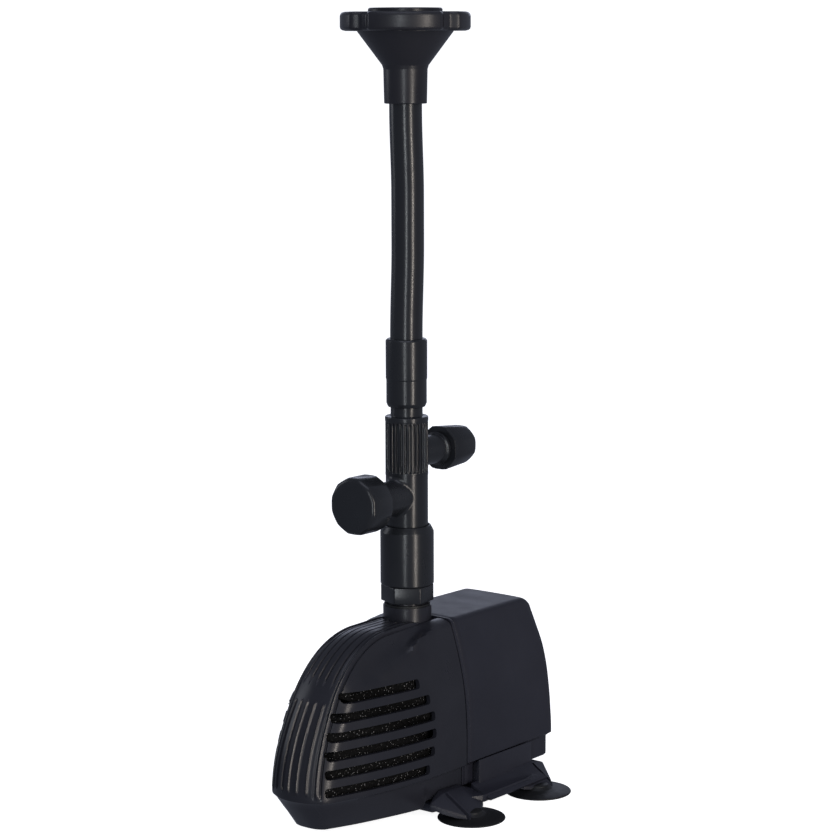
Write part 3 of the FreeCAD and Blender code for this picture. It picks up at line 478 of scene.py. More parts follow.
def resampled(points, stops):
    """Points at the given distances: in mm up to NEAR, then spread evenly over the rest of the length."""
    lengths = [0.0]
    for a, b in zip(points, points[1:]):
        lengths.append(lengths[-1] + (b - a).length)
    total = lengths[-1]
    out, i = [], 0
    for stop in stops:
        wanted = stop if stop < NEAR else NEAR + (total - NEAR) * (stop - NEAR) / (stops[-1] - NEAR)
        while i < len(points) - 2 and lengths[i + 1] < wanted:
            i += 1
        share = (wanted - lengths[i]) / max(lengths[i + 1] - lengths[i], 1e-9)
        out.append(points[i].lerp(points[i + 1], min(max(share, 0.0), 1.0)))
    return out


def moved_in(points, inset):
    """Slice of the inner skin: each point moved inward, with both ends kept on their planes."""
    moved = []
    for i, point in enumerate(points):
        run = points[min(i + 1, len(points) - 1)] - points[max(i - 1, 0)]
        moved.append(point + Vector((run.y, -run.x)).normalized() * inset)
    moved[0].x = 0.0
    moved[-1] = Vector((WAIST_X - inset, 0.0))
    return moved


def slice_row(degrees, stops, detail=True, inset=0.0):
    """One slice of the right half, as (x, y, z), from the centre line to the hinge."""
    angle = math.radians(degrees)
    far = crest(angle)
    flank = flank_curve(degrees, far)
    edge_x, edge_r = flank[0]
    ribs = step_up(degrees, RIB_START, RIB_START + 0.6) * (1 - step_up(degrees, RIB_END - 1.0, RIB_END))
    fade = 1 - step_up(degrees, GROOVE_END - 3, GROOVE_END)
    grooves = step_up(degrees, GROOVE_START, GROOVE_START + 2) * fade
    rim = step_up(degrees, 10, 16) * (1 - step_up(degrees, 88, 89.5))
    points = []
    for k in range(STRIP_STEPS):
        u = k / STRIP_STEPS
        r = far - (far - edge_r) * u * u
        if detail:
            for line in range(3):
                profile = bump_at((u - line / 3) * edge_x, LINE_HALF)
                r += RIB_HEIGHT * ribs * profile - GROOVE_DEPTH * grooves * profile
            r += 0.75 * rim * bump_at((u - 0.965) * edge_x, 0.8)
            r -= 0.45 * rim * bump_at((u - 0.86) * edge_x, 0.7)
        points.append(Vector((edge_x * u, r)))
    tail = resampled(flank, stops)
    if detail:
        for i, stop in enumerate(stops):
            if stop < 2.6:
                tail[i] = tail[i] - Vector((0.35, 0.94)) * 0.9 * rim * bump_at(stop - 0.95, 0.85)
    points += tail
    if inset:
        points = moved_in(points, inset)
    s, c = math.sin(angle), math.cos(angle)
    return [(p.x, PARTING_Y - 0.2 - p.y * s, BREAK_Z + p.y * c) for p in points]


def skirt_rows(row, wall=0.0):
    """Ledge and skirt below the break line, down to the keel; wall moves it inward."""
    end_y, recess_x = SKIRT_END_Y - wall, RECESS_X - wall
    keel_z, recess_z = KEEL_Z + wall, RECESS_Z + wall
    split = next(i for i, p in enumerate(row) if p[1] > end_y)
    lip, ledge = [], []
    for i, (x, y, _) in enumerate(row):
        a, b = row[max(i - 1, 0)], row[min(i + 1, len(row) - 1)]
        run = Vector((b[0] - a[0], b[1] - a[1])).normalized()
        n = Vector((-run.y, run.x)) if i else Vector((0, 1))
        inner = 1.7 + 1.8 * step_up(y, -70, -25)
        if y > end_y:
            lip.append((x, y, BREAK_Z - 0.6))
            ledge.append((min(x + n.x * inner, recess_x), y, BREAK_Z - 2.5))
        else:
            lip.append((x + 0.15 * n.x, y + 0.15 * n.y, BREAK_Z - 0.9))
            ledge.append((max(x + n.x * inner, 0.0), y + n.y * inner, BREAK_Z - 2.3))
    ledge[split - 1] = (ledge[split - 1][0], end_y - 0.15, ledge[split - 1][2])
    ledge[split] = (ledge[split][0], end_y + 0.15, ledge[split][2])
    foot = []
    foot_y, foot_x = KEEL_LINE[0]
    start = next(p for p in row if p[0] >= NOSE_FLAT_X)[1]
    for i, (_, y, _) in enumerate(ledge):
        across = row[i][0]
        if i >= split:
            foot.append((recess_x, y, recess_z))
        elif across < NOSE_FLAT_X:
            share = across / NOSE_FLAT_X
            foot.append((foot_x * share, foot_y - 3.0 + wall + 3.0 * share ** 3, keel_z))
        else:
            y_foot = foot_y + wall + (y - start) * (end_y - foot_y - wall) / (end_y - start)
            inward = wall * (across - NOSE_FLAT_X) / (across - 9.0)
            foot.append((ramp(y_foot, KEEL_LINE) - inward, y_foot, keel_z))
    foot[split - 1] = (foot[split - 1][0], end_y - 0.15, keel_z)
    foot[split] = (recess_x, end_y + 0.15, recess_z)
    rows = [lip, ledge]
    for k in range(1, 7):
        t = k / 6
        level = []
        for i, (a, b) in enumerate(zip(ledge, foot)):
            bulge = 0.8 * math.sin(math.pi * t) if i < split and a[0] > NOSE_FLAT_X else 0
            x, y, z = (a[axis] + (b[axis] - a[axis]) * t for axis in range(3))
            level.append((x + bulge, y, z))
        rows.append(level)
    return rows


def mirrored_grid(rows):
    """Both halves of a grid of rows whose first column is on the centre plane."""
    width = len(rows[0])
    verts = [point for row in rows for point in row]
    half = len(verts)
    verts += [(-x, y, z) for x, y, z in verts]
    faces = []
    for i in range(len(rows) - 1):
        for k in range(width - 1):
            a, b = i * width + k, (i + 1) * width + k
            faces.append((a, a + 1, b + 1, b))
            faces.append((half + b, half + b + 1, half + a + 1, half + a))
    return verts, faces, width, half


def slot_cutter():
    """Six bars with rounded ends across the cage, at the CAD slots' heights."""
    bars = []
    for i, (rear, front) in enumerate(SLOT_ENDS):
        z = SLOT_Z + SLOT_PITCH * i
        low, high = z - SLOT_HALF, z + SLOT_HALF
        corners = [(rear, low), (front, low), (front, high), (rear, high)]
        bars.append(prism("slot_bar", softened(corners, 1.5, 4, True), -45, 45, "X"))
    return bars


def cage_surface(detail, wall):
    """One skin of the cage as grid rows, from the parting section over the nose and down to the keel."""
    stops = [0.25 * k for k in range(9)] + [2.5] + [NEAR + 1.5 * k for k in range(48)]
    angles = [float(k) for k in range(60)] + [60 + 0.5 * k for k in range(61)]
    rows = [slice_row(a, stops, detail, wall) for a in angles]
    return rows + skirt_rows(rows[-1], wall)


def build_cage():
    """Strainer shell: outer and inner skins joined along their rims, then cut by the slots and the notch."""
    verts, faces, edges = [], [], []
    for detail, wall in ((True, 0.0), (False, CAGE_WALL)):
        rows = cage_surface(detail, wall)
        part, part_faces, width, half = mirrored_grid(rows)
        last = (len(rows) - 1) * width
        for k in range(width - 1):
            a = last + k
            part_faces.append((a, a + 1, half + a + 1, half + a))
        base = len(verts)
        verts += part
        faces += [tuple(base + i for i in face) for face in part_faces]
        rim = list(range(width)) + [(i + 1) * width - 1 for i in range(1, len(rows))]
        edges.append([base + i for i in rim] + [base + half + i for i in reversed(rim)])
    outer, inner = edges
    for k in range(len(outer)):
        n = (k + 1) % len(outer)
        faces.append((outer[k], outer[n], inner[n], inner[k]))
    shell = piece("cage_shell", verts, faces, 32.0)
    cutter = slot_cutter()
    half_turn = [math.pi + math.pi * k / 48 for k in range(49)]
    arc = [(CAGE_NOTCH_R * math.cos(a), CAGE_NOTCH_R * math.sin(a)) for a in half_turn]
    cutter.append(prism("notch", arc + [(CAGE_NOTCH_R, 12.0), (-CAGE_NOTCH_R, 12.0)], 70, 110, "Z"))
    with bpy.context.temp_override(active_object=cutter[0], selected_editable_objects=cutter):
        bpy.ops.object.join()
    boolean(shell, cutter[0], folded=True)
    tidy_mesh(shell, 32.0, 0.01)
    return set_up(shell, "cage", "cage_plastic", "strainer_cage")


def build_foam():
    """Foam lining right behind the slots, with its open cells standing out as small knobs."""
    stops = [0.9 * k for k in range(90)]
    angles = [12 + 0.55 * k for k in range(142)]
    rows = [slice_row(a, stops, detail=False, inset=3.5 + 3.0 * bump_at(a - 50, 14)) for a in angles]
    rows.append([(max(x - 1.5, 0), y + (1.5 if x < 16 else 0), z - 6.0) for x, y, z in rows[-1]])
    verts, faces = mirrored_grid(rows)[:2]
    rough = []
    for x, y, z in verts:
        p = Vector((x, y, z))
        push = 0.5 * noise.noise(p / 1.15) + 0.35 * noise.noise(p / 0.55) - 0.2
        side = (p - Vector((0, -20, 30))).normalized()
        rough.append(tuple(p + side * push))
    foam = piece("foam_lining", rough, faces, 80.0)
    bm = bmesh.new()
    bm.from_mesh(foam.data)
    for plane, normal in (((0, -13.0, 0), (0, 1, 0)), ((0, 0, 74.5), (0, 0, 1))):
        geometry = bm.verts[:] + bm.edges[:] + bm.faces[:]
        bmesh.ops.bisect_plane(
            bm, geom=geometry, plane_co=Vector(plane) * MM, plane_no=normal, clear_outer=True)
    bm.to_mesh(foam.data)
    bm.free()
    solid = foam.modifiers.new("depth", "SOLIDIFY")
    solid.thickness = 5.0 * MM
    solid.offset = -1.0
    apply_modifiers(foam)
    tidy_mesh(foam, 80.0, 0.0005)
    set_up(foam, "cage", "foam", "intake_foam")
    return foam


# ---------------------------------------------------------------- motor housing

REAR_Y = housing_high[1]
REAR_FALL = [(0, 0), (26, 0), (38, 1.0), (53, 2.0), (68, 3.0), (80, 4.4), (90, 5.6), (96, 6.6)]
REAR_WALL = [(z, REAR_Y - fall) for z, fall in REAR_FALL]
FLANK = [(23, 30.7), (40, 30.7), (50, 30.2), (60, 29.2), (70, 27.3), (79, 25.0), (86, 22.9), (92, 20.9)]
ROOF_STEPS, CORNER_STEPS, FLANK_STEPS = 12, 10, 26
# distance behind the parting plane, and depth: the joint with the cage, then a shallow groove
PARTING_STATIONS = [(0.0, 1.6), (0.5, 1.5), (0.53, 0.04), (0.62, 0.0), (2.3, 0.0), (2.5, 0.1), (2.7, 0.16),
                    (2.9, 0.1), (3.1, 0.0)]


def housing_section(side_in, roof_in, corner):
    """Right half of the cross-section from the roof's middle to the keel, always the same count."""
    top = ROOF_Z - roof_in

    def flank_x(z):
        return ramp(min(z + 0.3 * roof_in, 96), FLANK + [(96, 19.6)]) - side_in

    corner_z = top - 0.2 - corner
    corner_x = flank_x(corner_z)
    lean = (flank_x(corner_z - 2) - flank_x(corner_z + 2)) / 4
    points = []
    edge_x = corner_x - corner * (1 + lean)
    for k in range(ROOF_STEPS):
        u = k / ROOF_STEPS
        points.append((edge_x * u, top - 0.2 * u ** 2.5))
    for k in range(CORNER_STEPS):
        a = math.pi / 2 * k / CORNER_STEPS
        points.append((edge_x + (corner_x - edge_x) * math.sin(a), corner_z + corner * math.cos(a)))
    for k in range(FLANK_STEPS + 1):
        z = corner_z + (BREAK_Z - corner_z) * k / FLANK_STEPS
        points.append((flank_x(z), z))
    points.append((RECESS_X - side_in + 1.5, BREAK_Z - 1.2))
    points.append((RECESS_X - side_in, BREAK_Z - 2.5))
    points.append((RECESS_X - side_in, RECESS_Z + 1.0))
    points.append((RECESS_X - side_in - 1.0, RECESS_Z))
    return points


def housing_ring(share, inward=0.0, back=0.0, sink=0.0):
    """Section at a share of the straight length; inward and back carry it round the rear edge."""
    side_in, roof_in = 0.4 * share + 3.5 * inward, 0.2 * share + 8.0 * inward
    row = []
    for x, z in housing_section(side_in + sink, roof_in + sink, 3.0 - 1.2 * inward):
        roundness = 3.5 + 4.0 * step_up(z, 70, 90)
        straight = ramp(z, REAR_WALL) - roundness
        row.append((x, PARTING_Y + (straight - PARTING_Y) * share + roundness * back, z))
    return row


def build_housing():
    """Motor housing: rings from the parting plane to the rear edge, a rear wall, cuts for nut and gland."""
    span = REAR_Y - 8 - PARTING_Y
    groove_end = PARTING_STATIONS[-1][0] / span
    shares = [groove_end + (1 - groove_end) * k / 20 for k in range(1, 21)]
    quarter = [math.pi / 2 * k / 10 for k in range(1, 11)]
    rows = [housing_ring(y / span, sink=sink) for y, sink in PARTING_STATIONS]
    rows += [housing_ring(share) for share in shares]
    rows += [housing_ring(1.0, 1 - math.cos(a), math.sin(a)) for a in quarter]
    verts, faces, width, half = mirrored_grid(rows)
    last = (len(rows) - 1) * width
    for i in range(len(rows) - 1):
        a, b = i * width + width - 1, (i + 1) * width + width - 1
        faces.append((a, b, half + b, half + a))
    # rear wall: level strips between the two flanks, the roof row on top
    above = [half + last + k for k in range(ROOF_STEPS, 0, -1)] + [last + k for k in range(ROOF_STEPS + 1)]
    for j in range(ROOF_STEPS + 1, width):
        x, y, z = rows[-1][j]
        current = [half + last + j]
        for k in range(-ROOF_STEPS + 1, ROOF_STEPS):
            verts.append((x * k / ROOF_STEPS, y, z))
            current.append(len(verts) - 1)
        current.append(last + j)
        for k in range(2 * ROOF_STEPS):
            faces.append((above[k], above[k + 1], current[k + 1], current[k]))
        above = current
    faces.append(tuple(above))
    shell = piece("housing_shell", verts, faces)
    solid = shell.modifiers.new("wall", "SOLIDIFY")
    solid.thickness = 2.4 * MM
    solid.offset = -1.0
    apply_modifiers(shell)
    notch = [(0, 78), (HOUSING_NOTCH_R, 78), (HOUSING_NOTCH_R, 110), (0, 110)]
    boolean(shell, lathe("notch", notch, 96), folded=True)
    gland = lathe("hole", [(0, 0), (6.6, 0), (6.6, 14), (0, 14)], 48, place=along_y(REAR_Y - 7, 30.0, 1))
    boolean(shell, gland, folded=True)
    tidy_mesh(shell, 35.0, 0.0005)
    return set_up(shell, "pump_base", "housing_plastic", "motor_housing")


# ---------------------------------------------------------------- riser

TEE_R, TEE_NECK = 10.5, 7.95
BRANCH_Z, VALVE_Z = 157.4, 177.6


def regular(sides, flats, turn=0.0):
    """Corners of a regular polygon from its size across flats, turned by some degrees."""
    reach = flats / 2 / math.cos(math.pi / sides)
    angles = [2 * math.pi * (i + 0.5) / sides + math.radians(turn) for i in range(sides)]
    return [(reach * math.cos(a), reach * math.sin(a)) for a in angles]


def divided(corners, steps):
    """Points along the sides of an outline, each with its share of the way from a corner to mid-side."""
    sides = zip(corners, corners[1:] + corners[:1])
    return [(Vector(p).lerp(Vector(q), s / steps), 2 * min(s, steps - s) / steps)
            for p, q in sides for s in range(steps)]


def build_adapter():
    """Hexagon nut with the round socket above it."""
    low, high = box_mm("lower_adapter")
    nut_z, top = low[2] + 1.0, high[2]
    sleeve = nut_z + 8.4
    nut = prism("adapter_nut", regular(6, 23.0, 9.0), nut_z, sleeve, "Z")
    bevelled(nut, 0.6, 3, 25)
    boolean(nut, lathe("bore", [(0, nut_z - 1), (9.9, nut_z - 1), (9.9, sleeve + 1), (0, sleeve + 1)], 64))
    tidy_mesh(nut, 35.0, 0.0005)
    set_up(nut, "pump_base", "fitting_plastic")
    r, bore = 13.35, 11.0
    profile = [(bore, sleeve - 0.2), (r - 0.9, sleeve - 0.2), (r, sleeve + 0.7), (r, top - 3.2),
               (r - 1.6, top), (bore, top), (bore, sleeve + 4)]
    profile = softened(profile, [0, 0.4, 0.4, 2.2, 1.3, 0.4, 0], 6, True)
    socket = lathe("adapter_sleeve", profile, 128, True)
    set_up(socket, "pump_base", "fitting_plastic", "lower_adapter")


def tee_ribs(low, high):
    """Band of upright ribs round the barrel."""
    count, steps = 30, 12
    levels = [(low - 0.3, 0.0), (low + 0.3, 0.0), (low + 0.9, 1.0)]
    levels += [(low + 0.9 + (high - low - 1.8) * k / 6, 1.0) for k in range(1, 7)]
    levels += [(high, 0.0), (high + 0.3, 0.0)]
    rings = []
    for z, depth in levels:
        ring = []
        for k, a in enumerate(full_turn(count * steps)):
            off = abs((k % steps) / steps - 0.5)
            radius = TEE_R + 0.1 - depth * (1 - step_up(off, 0.14, 0.30))
            ring.append((radius * math.cos(a), radius * math.sin(a), z))
        rings.append(ring)
    return loft("tee_ribs", rings, 40.0, capped=True)


def tee_branch():
    """Front branch with a rolling-ball fillet where it leaves the barrel, and its threaded mouth."""
    b, fillet = 8.5, 2.6
    mouth = [(b, -24.0), (b, -25.5), (9.6, -26.2), (11.6, -26.6), (12.1, -27.2), (12.1, -39.0),
             (6.0, -39.0), (6.0, -12.0)]
    lines = []
    for a in full_turn(96):
        cx, cz = (b + fillet) * math.cos(a), (b + fillet) * math.sin(a)
        cy = -math.sqrt((TEE_R + fillet) ** 2 - cx * cx)
        start = Vector((cx, cy)) * (TEE_R / (TEE_R + fillet))
        ball = Vector((cx, cy, cz))
        p1 = Vector((start.x, start.y, cz)) - ball
        p2 = Vector((b * math.cos(a), cy, b * math.sin(a))) - ball
        line = [Vector((start.x * 0.9, start.y * 0.9, cz))]
        for s in range(9):
            t = s / 8
            line.append(ball + (p1 * (1 - t) + p2 * t).normalized() * fillet)
        line += [Vector((radius * math.cos(a), y, radius * math.sin(a))) for radius, y in mouth]
        lines.append([(p.x, p.y, p.z + BRANCH_Z) for p in line])
    return loft("tee_branch", list(zip(*lines)), 40.0)


def build_tee():
    """Sliding tee: barrel, ribbed band, collar, front branch and rear valve stem."""
    low, high = box_mm("tee_body")
    foot, top = low[2], high[2]
    r = TEE_R
    ribs_low, ribs_high, ring_top = foot + 51.2, foot + 76.3, foot + 79.1
    outline = softened([(6.1, foot), (r, foot), (r, ribs_low - 0.2)], 0.6)
    outline += [(r + 0.15, ribs_low - 1.4), (r + 0.15, ribs_low - 0.5), (r - 0.3, ribs_low - 0.1),
                (6.1, ribs_low - 0.1)]
    barrel = lathe("tee_barrel", outline, 128, True)
    set_up(barrel, "riser", "fitting_plastic", "tee_body")
    set_up(tee_ribs(ribs_low, ribs_high), "riser", "fitting_plastic")
    collar = [(0.5, ribs_high + 0.1), (r + 0.25, ribs_high + 0.1), (r + 0.25, ring_top),
              (TEE_NECK, ring_top), (TEE_NECK, top), (0.5, top)]
    ring = lathe("tee_collar", softened(collar, [0, 0.5, 0.6, 0.5, 0.4, 0], 4), 128)
    set_up(ring, "riser", "fitting_plastic")
    set_up(tee_branch(), "riser", "fitting_plastic")
    stem = [(0.5, 7.0), (7.3, 7.0), (7.3, 22.5), (8.4, 23.2), (8.4, 25.0), (4.0, 25.0), (4.0, 8.0),
            (0.5, 8.0)]
    stem = softened(stem, [0, 0, 0.6, 0.4, 0.5, 0.3, 0, 0], 4)
    valve = lathe("tee_valve_stem", stem, 96, True, along_y(0, VALVE_Z, 1))
    set_up(valve, "riser", "fitting_plastic")


def build_side_cap():
    """Twelve-sided screw cap whose end face turns round and slightly domed."""
    low, high = box_mm("side_cap")
    mouth, length = high[1], high[1] - low[1]
    size = 14.3
    rows = [(0.985, 0.0), (1.0, 0.5), (1.0, length - 2.6), (0.985, length - 1.5), (0.955, length - 0.75),
            (0.915, length - 0.25), (0.87, length - 0.02), (0.6, length + 0.1), (0.3, length + 0.16),
            (0.02, length + 0.18)]
    rings = []
    for scale, y in rows:
        blend = step_up(scale, 0.99, 0.87)
        ring = []
        for point, along in divided(regular(12, 2 * size * 0.975), 6):
            radius = (point.length * (1 - blend) + size * 0.965 * blend) * scale
            soft = 1.0 - 0.012 * (1 - step_up(along, 0.0, 0.5))
            d = point.normalized() * radius * soft
            ring.append((d.x, mouth - y, BRANCH_Z + d.y))
        rings.append(ring)
    cap = loft("side_cap_shell", rings, 28.0, capped=True)
    bore = [(0, -1.0), (12.26, -1.0), (12.26, length - 2.2), (0, length - 2.2)]
    boolean(cap, lathe("bore", bore, 96, place=along_y(mouth, BRANCH_Z, -1)))
    tidy_mesh(cap, 28.0, 0.0005)
    return set_up(cap, "cap", "fitting_plastic", "side_cap")


def build_knob():
    """Eight-sided flow knob with a grip groove and a dished end."""
    low, high = box_mm("flow_knob")
    start, length = low[1], high[1] - low[1]
    rows = [(1.0, 0.0, 0), (1.02, 0.4, 0), (1.02, 1.5, 0), (0.985, 1.9, 0), (0.985, 2.6, 0), (1.0, 3.0, 0),
            (0.895, length - 2.8, 0), (0.87, length - 1.3, .1), (0.82, length - 0.35, .3), (0.74, length, .5),
            (0.62, length, .6), (0.56, length - 0.5, .8), (0.3, length - 0.6, 1), (0.02, length - 0.6, 1)]
    rings = []
    for scale, y, roundness in rows:
        ring = []
        for point, along in divided(regular(8, 21.4), 8):
            soft = 1.0 - 0.03 * (1 - step_up(along, 0.0, 0.6))
            radius = (point.length * soft) * (1 - roundness) + 10.9 * roundness
            d = point.normalized() * radius * scale
            ring.append((d.x, start + y, VALVE_Z + d.y))
        rings.append(ring)
    knob = loft("valve_knob", rings, 30.0, capped=True)
    return set_up(knob, "valve", "fitting_plastic", "flow_knob")


def build_coupling():
    """Turned coupling between the tee and the riser pipe."""
    low, high = box_mm("upper_coupling")
    z0, z1 = low[2], high[2]
    r = 10.0
    profile = [(7.95, z0), (r - 0.8, z0), (r, z0 + 1.9), (r, z0 + 13.5), (r + 0.25, z0 + 14.0),
               (r + 0.25, z1 - 0.9), (r - 0.6, z1), (8.03, z1), (8.03, z1 - 4), (7.95, z0 + 4)]
    profile = softened(profile, [0, 0.5, 0.8, 0.3, 0.3, 0.6, 0.5, 0, 0, 0], 4, True)
    coupling = lathe("riser_coupling", profile, 128, True)
    return set_up(coupling, "riser", "fitting_plastic", "upper_coupling")


def build_tube():
    """Flexible riser pipe, very slightly bowed between its two sockets."""
    low, high = box_mm("riser_tube")
    z0, z1 = low[2], high[2]
    bow, bearing = 0.85, math.radians(38.7)
    across = Vector((math.cos(bearing), math.sin(bearing), 0)) * bow
    rows = []
    for k in range(61):
        t = k / 60
        inside = step_up(t, 0.14, 0.45) * (1 - step_up(t, 0.62, 0.9))
        rows.append((z0 + (z1 - z0) * t, across * inside))
    rings = []
    for radius, run in ((8.0, rows), (6.2, rows[::-1])):
        for z, shift in run:
            rings.append([(radius * math.cos(a) + shift.x, radius * math.sin(a) + shift.y, z)
                          for a in full_turn(72)])
    tube = loft("riser_pipe", rings, closed=True)
    return set_up(tube, "riser", "tube_plastic", "riser_tube")


# ---------------------------------------------------------------- nozzle

RIM_R, LOBE_TURN = 31.6, 83.7


def lobed(angle, depth):
    """Radius of the rim: four lobes with shallow finger scallops between them."""
    off = (math.degrees(angle) - LOBE_TURN) % 90.0
    off = min(off, 90.0 - off)
    return RIM_R - depth * (1 - step_up(off, 3.0, 12.5))


def build_nozzle():
    """Turned bell with its lobed cap ring on top."""
    z0 = box_mm("nozzle_bell")[0][2]
    cap_low, cap_high = box_mm("nozzle_cap")
    rim, top = cap_low[2], cap_high[2]
    throat = z0 + 18.0
    profile = [(8.1, z0), (10.4, z0), (10.75, throat - 1.5), (11.3, throat + 0.4), (23.4, rim - 0.4),
               (23.4, top - 3), (21.3, top - 3), (21.3, rim), (7.0, throat - 1), (7.0, z0 + 12.5),
               (8.1, z0 + 12.5)]
    profile = softened(profile, [0, 0.5, 1.2, 1.2, 0.4, 0, 0, 0, 0, 0, 0], 5, True)
    bell = lathe("nozzle_bell_shell", profile, 128, True)
    set_up(bell, "nozzle", "nozzle_plastic", "nozzle_bell")
    # how far from the rim's radius, height, and share of the scallops' depth
    rows = [(-8.4, rim + 1.0, 0), (-8.6, rim + 0.1, 0), (-2.6, rim - 0.25, .9), (-1.1, rim + 0.1, 1),
            (-0.3, rim + 0.7, 1), (0.0, rim + 1.7, 1), (0.0, top - 2.2, 1), (-0.25, top - 1.1, 1),
            (-0.9, top - 0.35, 1), (-2.0, top, 1), (-4.6, top - 0.05, .8), (-5.2, top - 0.5, .4),
            (-6.0, top - 0.55, .1), (-12.2, top - 0.5, 0), (-12.9, top - 0.9, 0), (-13.4, top - 1.5, 0)]
    rings = []
    for outward, z, follow in rows:
        ring = []
        for a in full_turn(288):
            radius = lobed(a, 3.6 * follow) + outward
            ring.append((radius * math.cos(a), radius * math.sin(a), z))
        rings.append(ring)
    cap = loft("nozzle_rim", rings, 38.0, closed=True)
    set_up(cap, "nozzle", "nozzle_plastic", "nozzle_cap")


# ---------------------------------------------------------------- base

def build_hood(side, middle, lean):
    """Low fairing from the bracket over a suction cup, with a rib down to its tip."""
    def at(x, y, z):
        return side * x, middle + lean * y, z
    fairing = [(30, -18.6, 7.0), (31, -19, 7.0), (31, -19, 9.2), (27.5, -12, 11.0), (27.5, -12, 7),
               (36, -15.5, 4.4), (36, -15.5, 5.6), (41.5, -11.5, 2.4), (41.5, -11.5, 4.0), (46, -7.5, 1.4),
               (46.6, -6.5, 1.2), (46, -7, 3.2), (27.5, -8, 13.2), (31, -8, 12.6), (38, -7.5, 8.4),
               (27.5, 6, 13.0), (31, 6, 12.4), (38, 3, 8.2), (44.5, 1.5, 3.0), (44.5, 1.5, 1.6),
               (41, 11, 3.2), (41, 11, 4.8), (31, 16, 6.0), (31, 16, 9.0), (27.5, 16, 9.0)]
    hood = hull("hood", [at(*p) for p in fairing])
    bevelled(hood, 0.7, 3, 12)
    spine = [(46.9, -7.3, 3.6), (39, -7.3, 8.4), (33, -7.6, 12.4)]
    rib = hull("rib", [at(x, y + w, z + h) for x, y, z in spine for w in (-0.7, 0.7) for h in (-2.2, 0.7)])
    return [hood, rib]


def side_rail(name, section, side, span, width):
    """Straight rail along the base from its (x, z) section, with rounded edges."""
    rail = prism(name, [(side * x, z) for x, z in section], *span, "Y")
    bevelled(rail, width, 2, 30)
    return rail


def build_cup(name):
    """Suction cup, turned about the middle of its CAD node."""
    node = "suction_cup_" + name
    low, high = box_mm(node)
    cx, cy = (low[0] + high[0]) / 2, (low[1] + high[1]) / 2
    profile = [(0.02, 1.5), (5.5, 1.4), (12.0, 0.7), (15.9, 0.02), (16.7, 0.0), (16.9, 0.25), (16.75, 0.7),
               (13.5, 1.15), (9.6, 1.6), (7.2, 2.1), (5.6, 3.2), (5.2, 4.0), (2.9, 4.4), (0.02, 4.6)]
    cup = lathe("cup_" + name, softened(profile, 0.6, 3), 96,
                place=lambda x, y, z: (x + cx, y + cy, z), sharp=50)
    set_up(cup, "pump_base", "rubber", node)


def build_base():
    """Bracket: floor plate, side clips, flanges and a fairing over each cup; then the four cups."""
    plate_z = box_mm("base_bracket")[0][2]
    front, rear = -2.0, 54.0
    edge = [(29, -19.3), (31, -19.3), (36, front + 4), (40.5, front + 12), (40.5, rear - 6), (36, rear + 6)]
    outline = softened(edge + [(-x, y) for x, y in reversed(edge)], 3.0, 4, True)
    plate = prism("bracket_plate", outline, plate_z, plate_z + 3.9, "Z")
    bevelled(plate, 0.6, 2, 50)
    clip = [(27.5, plate_z + 0.5), (31.7, plate_z + 0.5), (31.9, 22.3), (31.2, 22.9), (30.9, 22.6),
            (27.5, 20.2)]
    flange = [(30, plate_z + 0.6), (42.5, plate_z + 0.6), (43.2, plate_z + 1.6), (32.6, 10.6), (30, 12)]
    parts = [plate]
    for side in (1, -1):
        parts.append(side_rail("tab", clip, side, (18.0, 62.0), 0.45))
        parts.append(side_rail("flange", flange, side, (13.0, 61.0), 0.4))
        for middle, lean in ((front, 1), (rear, -1)):
            parts += build_hood(side, middle, lean)
    set_up(join(parts, "base_cradle"), "pump_base", "housing_plastic", "base_bracket")
    for name in ("front_left", "front_right", "rear_left", "rear_right"):
        build_cup(name)


# ---------------------------------------------------------------- what stays from the CAD

def dress_cad_nodes():
    """Procedural materials for the CAD meshes that stay in the model."""
    slots = {row["node"]: row["material_slot"] for row in frame["record"]["subparts"]}
    for name, obj in frame["nodes"].items():
        obj.data.materials.clear()
        obj.data.materials.append(MATERIALS[slots[name]])


# ---------------------------------------------------------------- stage, light, camera

LIGHT_TARGET = Vector((0, 0, 0.18))


def white_surface(name, verts, faces):
    """Plain white part of the studio, seen by the camera and left out of the object's reflections."""
    mesh = bpy.data.meshes.new(name)
    mesh.from_pydata(verts, [], faces)
    obj = bpy.data.objects.new(name, mesh)
    bpy.context.scene.collection.objects.link(obj)
    material, nodes, links, shader, at = new_material(name)
    tone = two_tone(nodes, links, noise_node(nodes, links, at, 3.0), (0.90, 0.90, 0.90), (0.92, 0.92, 0.92))
    links.new(tone, shader.inputs["Base Color"])
    shader.inputs["Roughness"].default_value = 0.9
    shader.inputs["Specular IOR Level"].default_value = 0.0
    shader.inputs["Emission Color"].default_value = (1, 1, 1, 1)
    shader.inputs["Emission Strength"].default_value = 0.9
    mesh.materials.append(material)
    obj.visible_diffuse = False
    obj.visible_glossy = False
    obj.visible_shadow = False
    return obj


def area_light(name, azimuth, elevation, distance, width, height, power, colour):
    """Rectangular light aimed at the object; azimuth counts from the front towards the right."""
    light = bpy.data.lights.new(name, "AREA")
    light.shape = "RECTANGLE"
    light.size, light.size_y = width, height
    light.energy = power
    light.color = colour
    obj = bpy.data.objects.new(name, light)
    a, e = math.radians(azimuth), math.radians(elevation)
    direction = Vector((math.sin(a) * math.cos(e), -math.cos(a) * math.cos(e), math.sin(e)))
    obj.location = LIGHT_TARGET + direction * distance
    obj.rotation_euler = direction.to_track_quat("Z", "Y").to_euler()
    bpy.context.scene.collection.objects.link(obj)


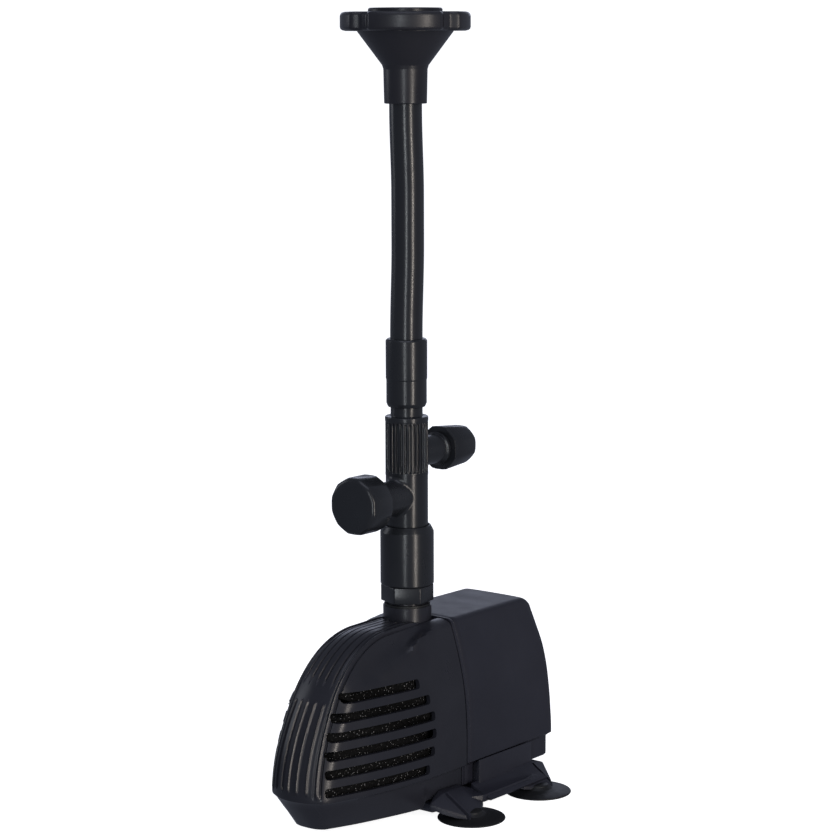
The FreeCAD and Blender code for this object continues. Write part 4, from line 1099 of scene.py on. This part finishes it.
def build_stage():
    """White floor and backdrop, soft cool world, and the lights that draw the highlights."""
    ring, reach, top = 64, 6.0, 5.0
    around = [(reach * math.cos(a), reach * math.sin(a)) for a in full_turn(ring)]
    white_surface("floor", [(x, y, 0) for x, y in around], [tuple(range(ring))])
    wall = [(x, y, -0.01) for x, y in around] + [(x, y, top) for x, y in around]
    sides = [(k, ring + k, ring + (k + 1) % ring, (k + 1) % ring) for k in range(ring)]
    white_surface("backdrop", wall, sides + [tuple(range(ring, 2 * ring))])
    world = bpy.data.worlds.new("studio")
    bpy.context.scene.world = world
    world.use_nodes = True
    world.node_tree.nodes["Background"].inputs["Color"].default_value = (0.74, 0.80, 1.0, 1)
    world.node_tree.nodes["Background"].inputs["Strength"].default_value = 0.24
    area_light("overhead", 30, 75, 1.3, 0.9, 0.7, 3, (0.80, 0.84, 1.0))
    area_light("front", 30, 8, 1.6, 0.13, 1.5, 8, (0.92, 0.97, 1.0))
    area_light("fill", -70, 15, 1.6, 0.5, 0.8, 2, (0.90, 0.93, 1.0))
    area_light("strip", 76, 5, 1.4, 0.08, 1.5, 13, (1.0, 0.91, 0.82))
    area_light("side", 148, 5, 1.7, 1.0, 1.0, 0.25, (0.82, 0.86, 1.0))
    area_light("back", 216, 16, 1.8, 1.3, 0.35, 1.9, (0.76, 0.81, 1.0))
    bpy.context.scene.view_settings.view_transform = "Standard"


def build_camera():
    """Camera solved from the photo's outline: place in metres, heading, pitch and roll."""
    place = (0.7615, -0.9403, 0.380)
    azimuth, pitch, roll = math.radians(38.69), math.radians(8.7), math.radians(-0.15)
    flat = math.cos(pitch)
    forward = Vector((-math.sin(azimuth) * flat, math.cos(azimuth) * flat, -math.sin(pitch)))
    right = Vector((math.cos(azimuth), math.sin(azimuth), 0))
    up = right.cross(forward)
    right, up = right * math.cos(roll) + up * math.sin(roll), up * math.cos(roll) - right * math.sin(roll)
    camera = bpy.data.objects.new("camera", bpy.data.cameras.new("camera"))
    camera.data.lens = 106.2
    camera.data.sensor_width = 36.0
    camera.data.clip_start = 0.05
    basis = Matrix((right, up, -forward)).transposed().to_4x4()
    camera.matrix_world = Matrix.Translation(place) @ basis
    bpy.context.scene.collection.objects.link(camera)
    bpy.context.scene.camera = camera


build_camera()
build_stage()
dress_cad_nodes()
build_cage()
build_foam()
build_housing()
build_adapter()
build_tee()
build_side_cap()
build_knob()
build_coupling()
build_tube()
build_nozzle()
build_base()
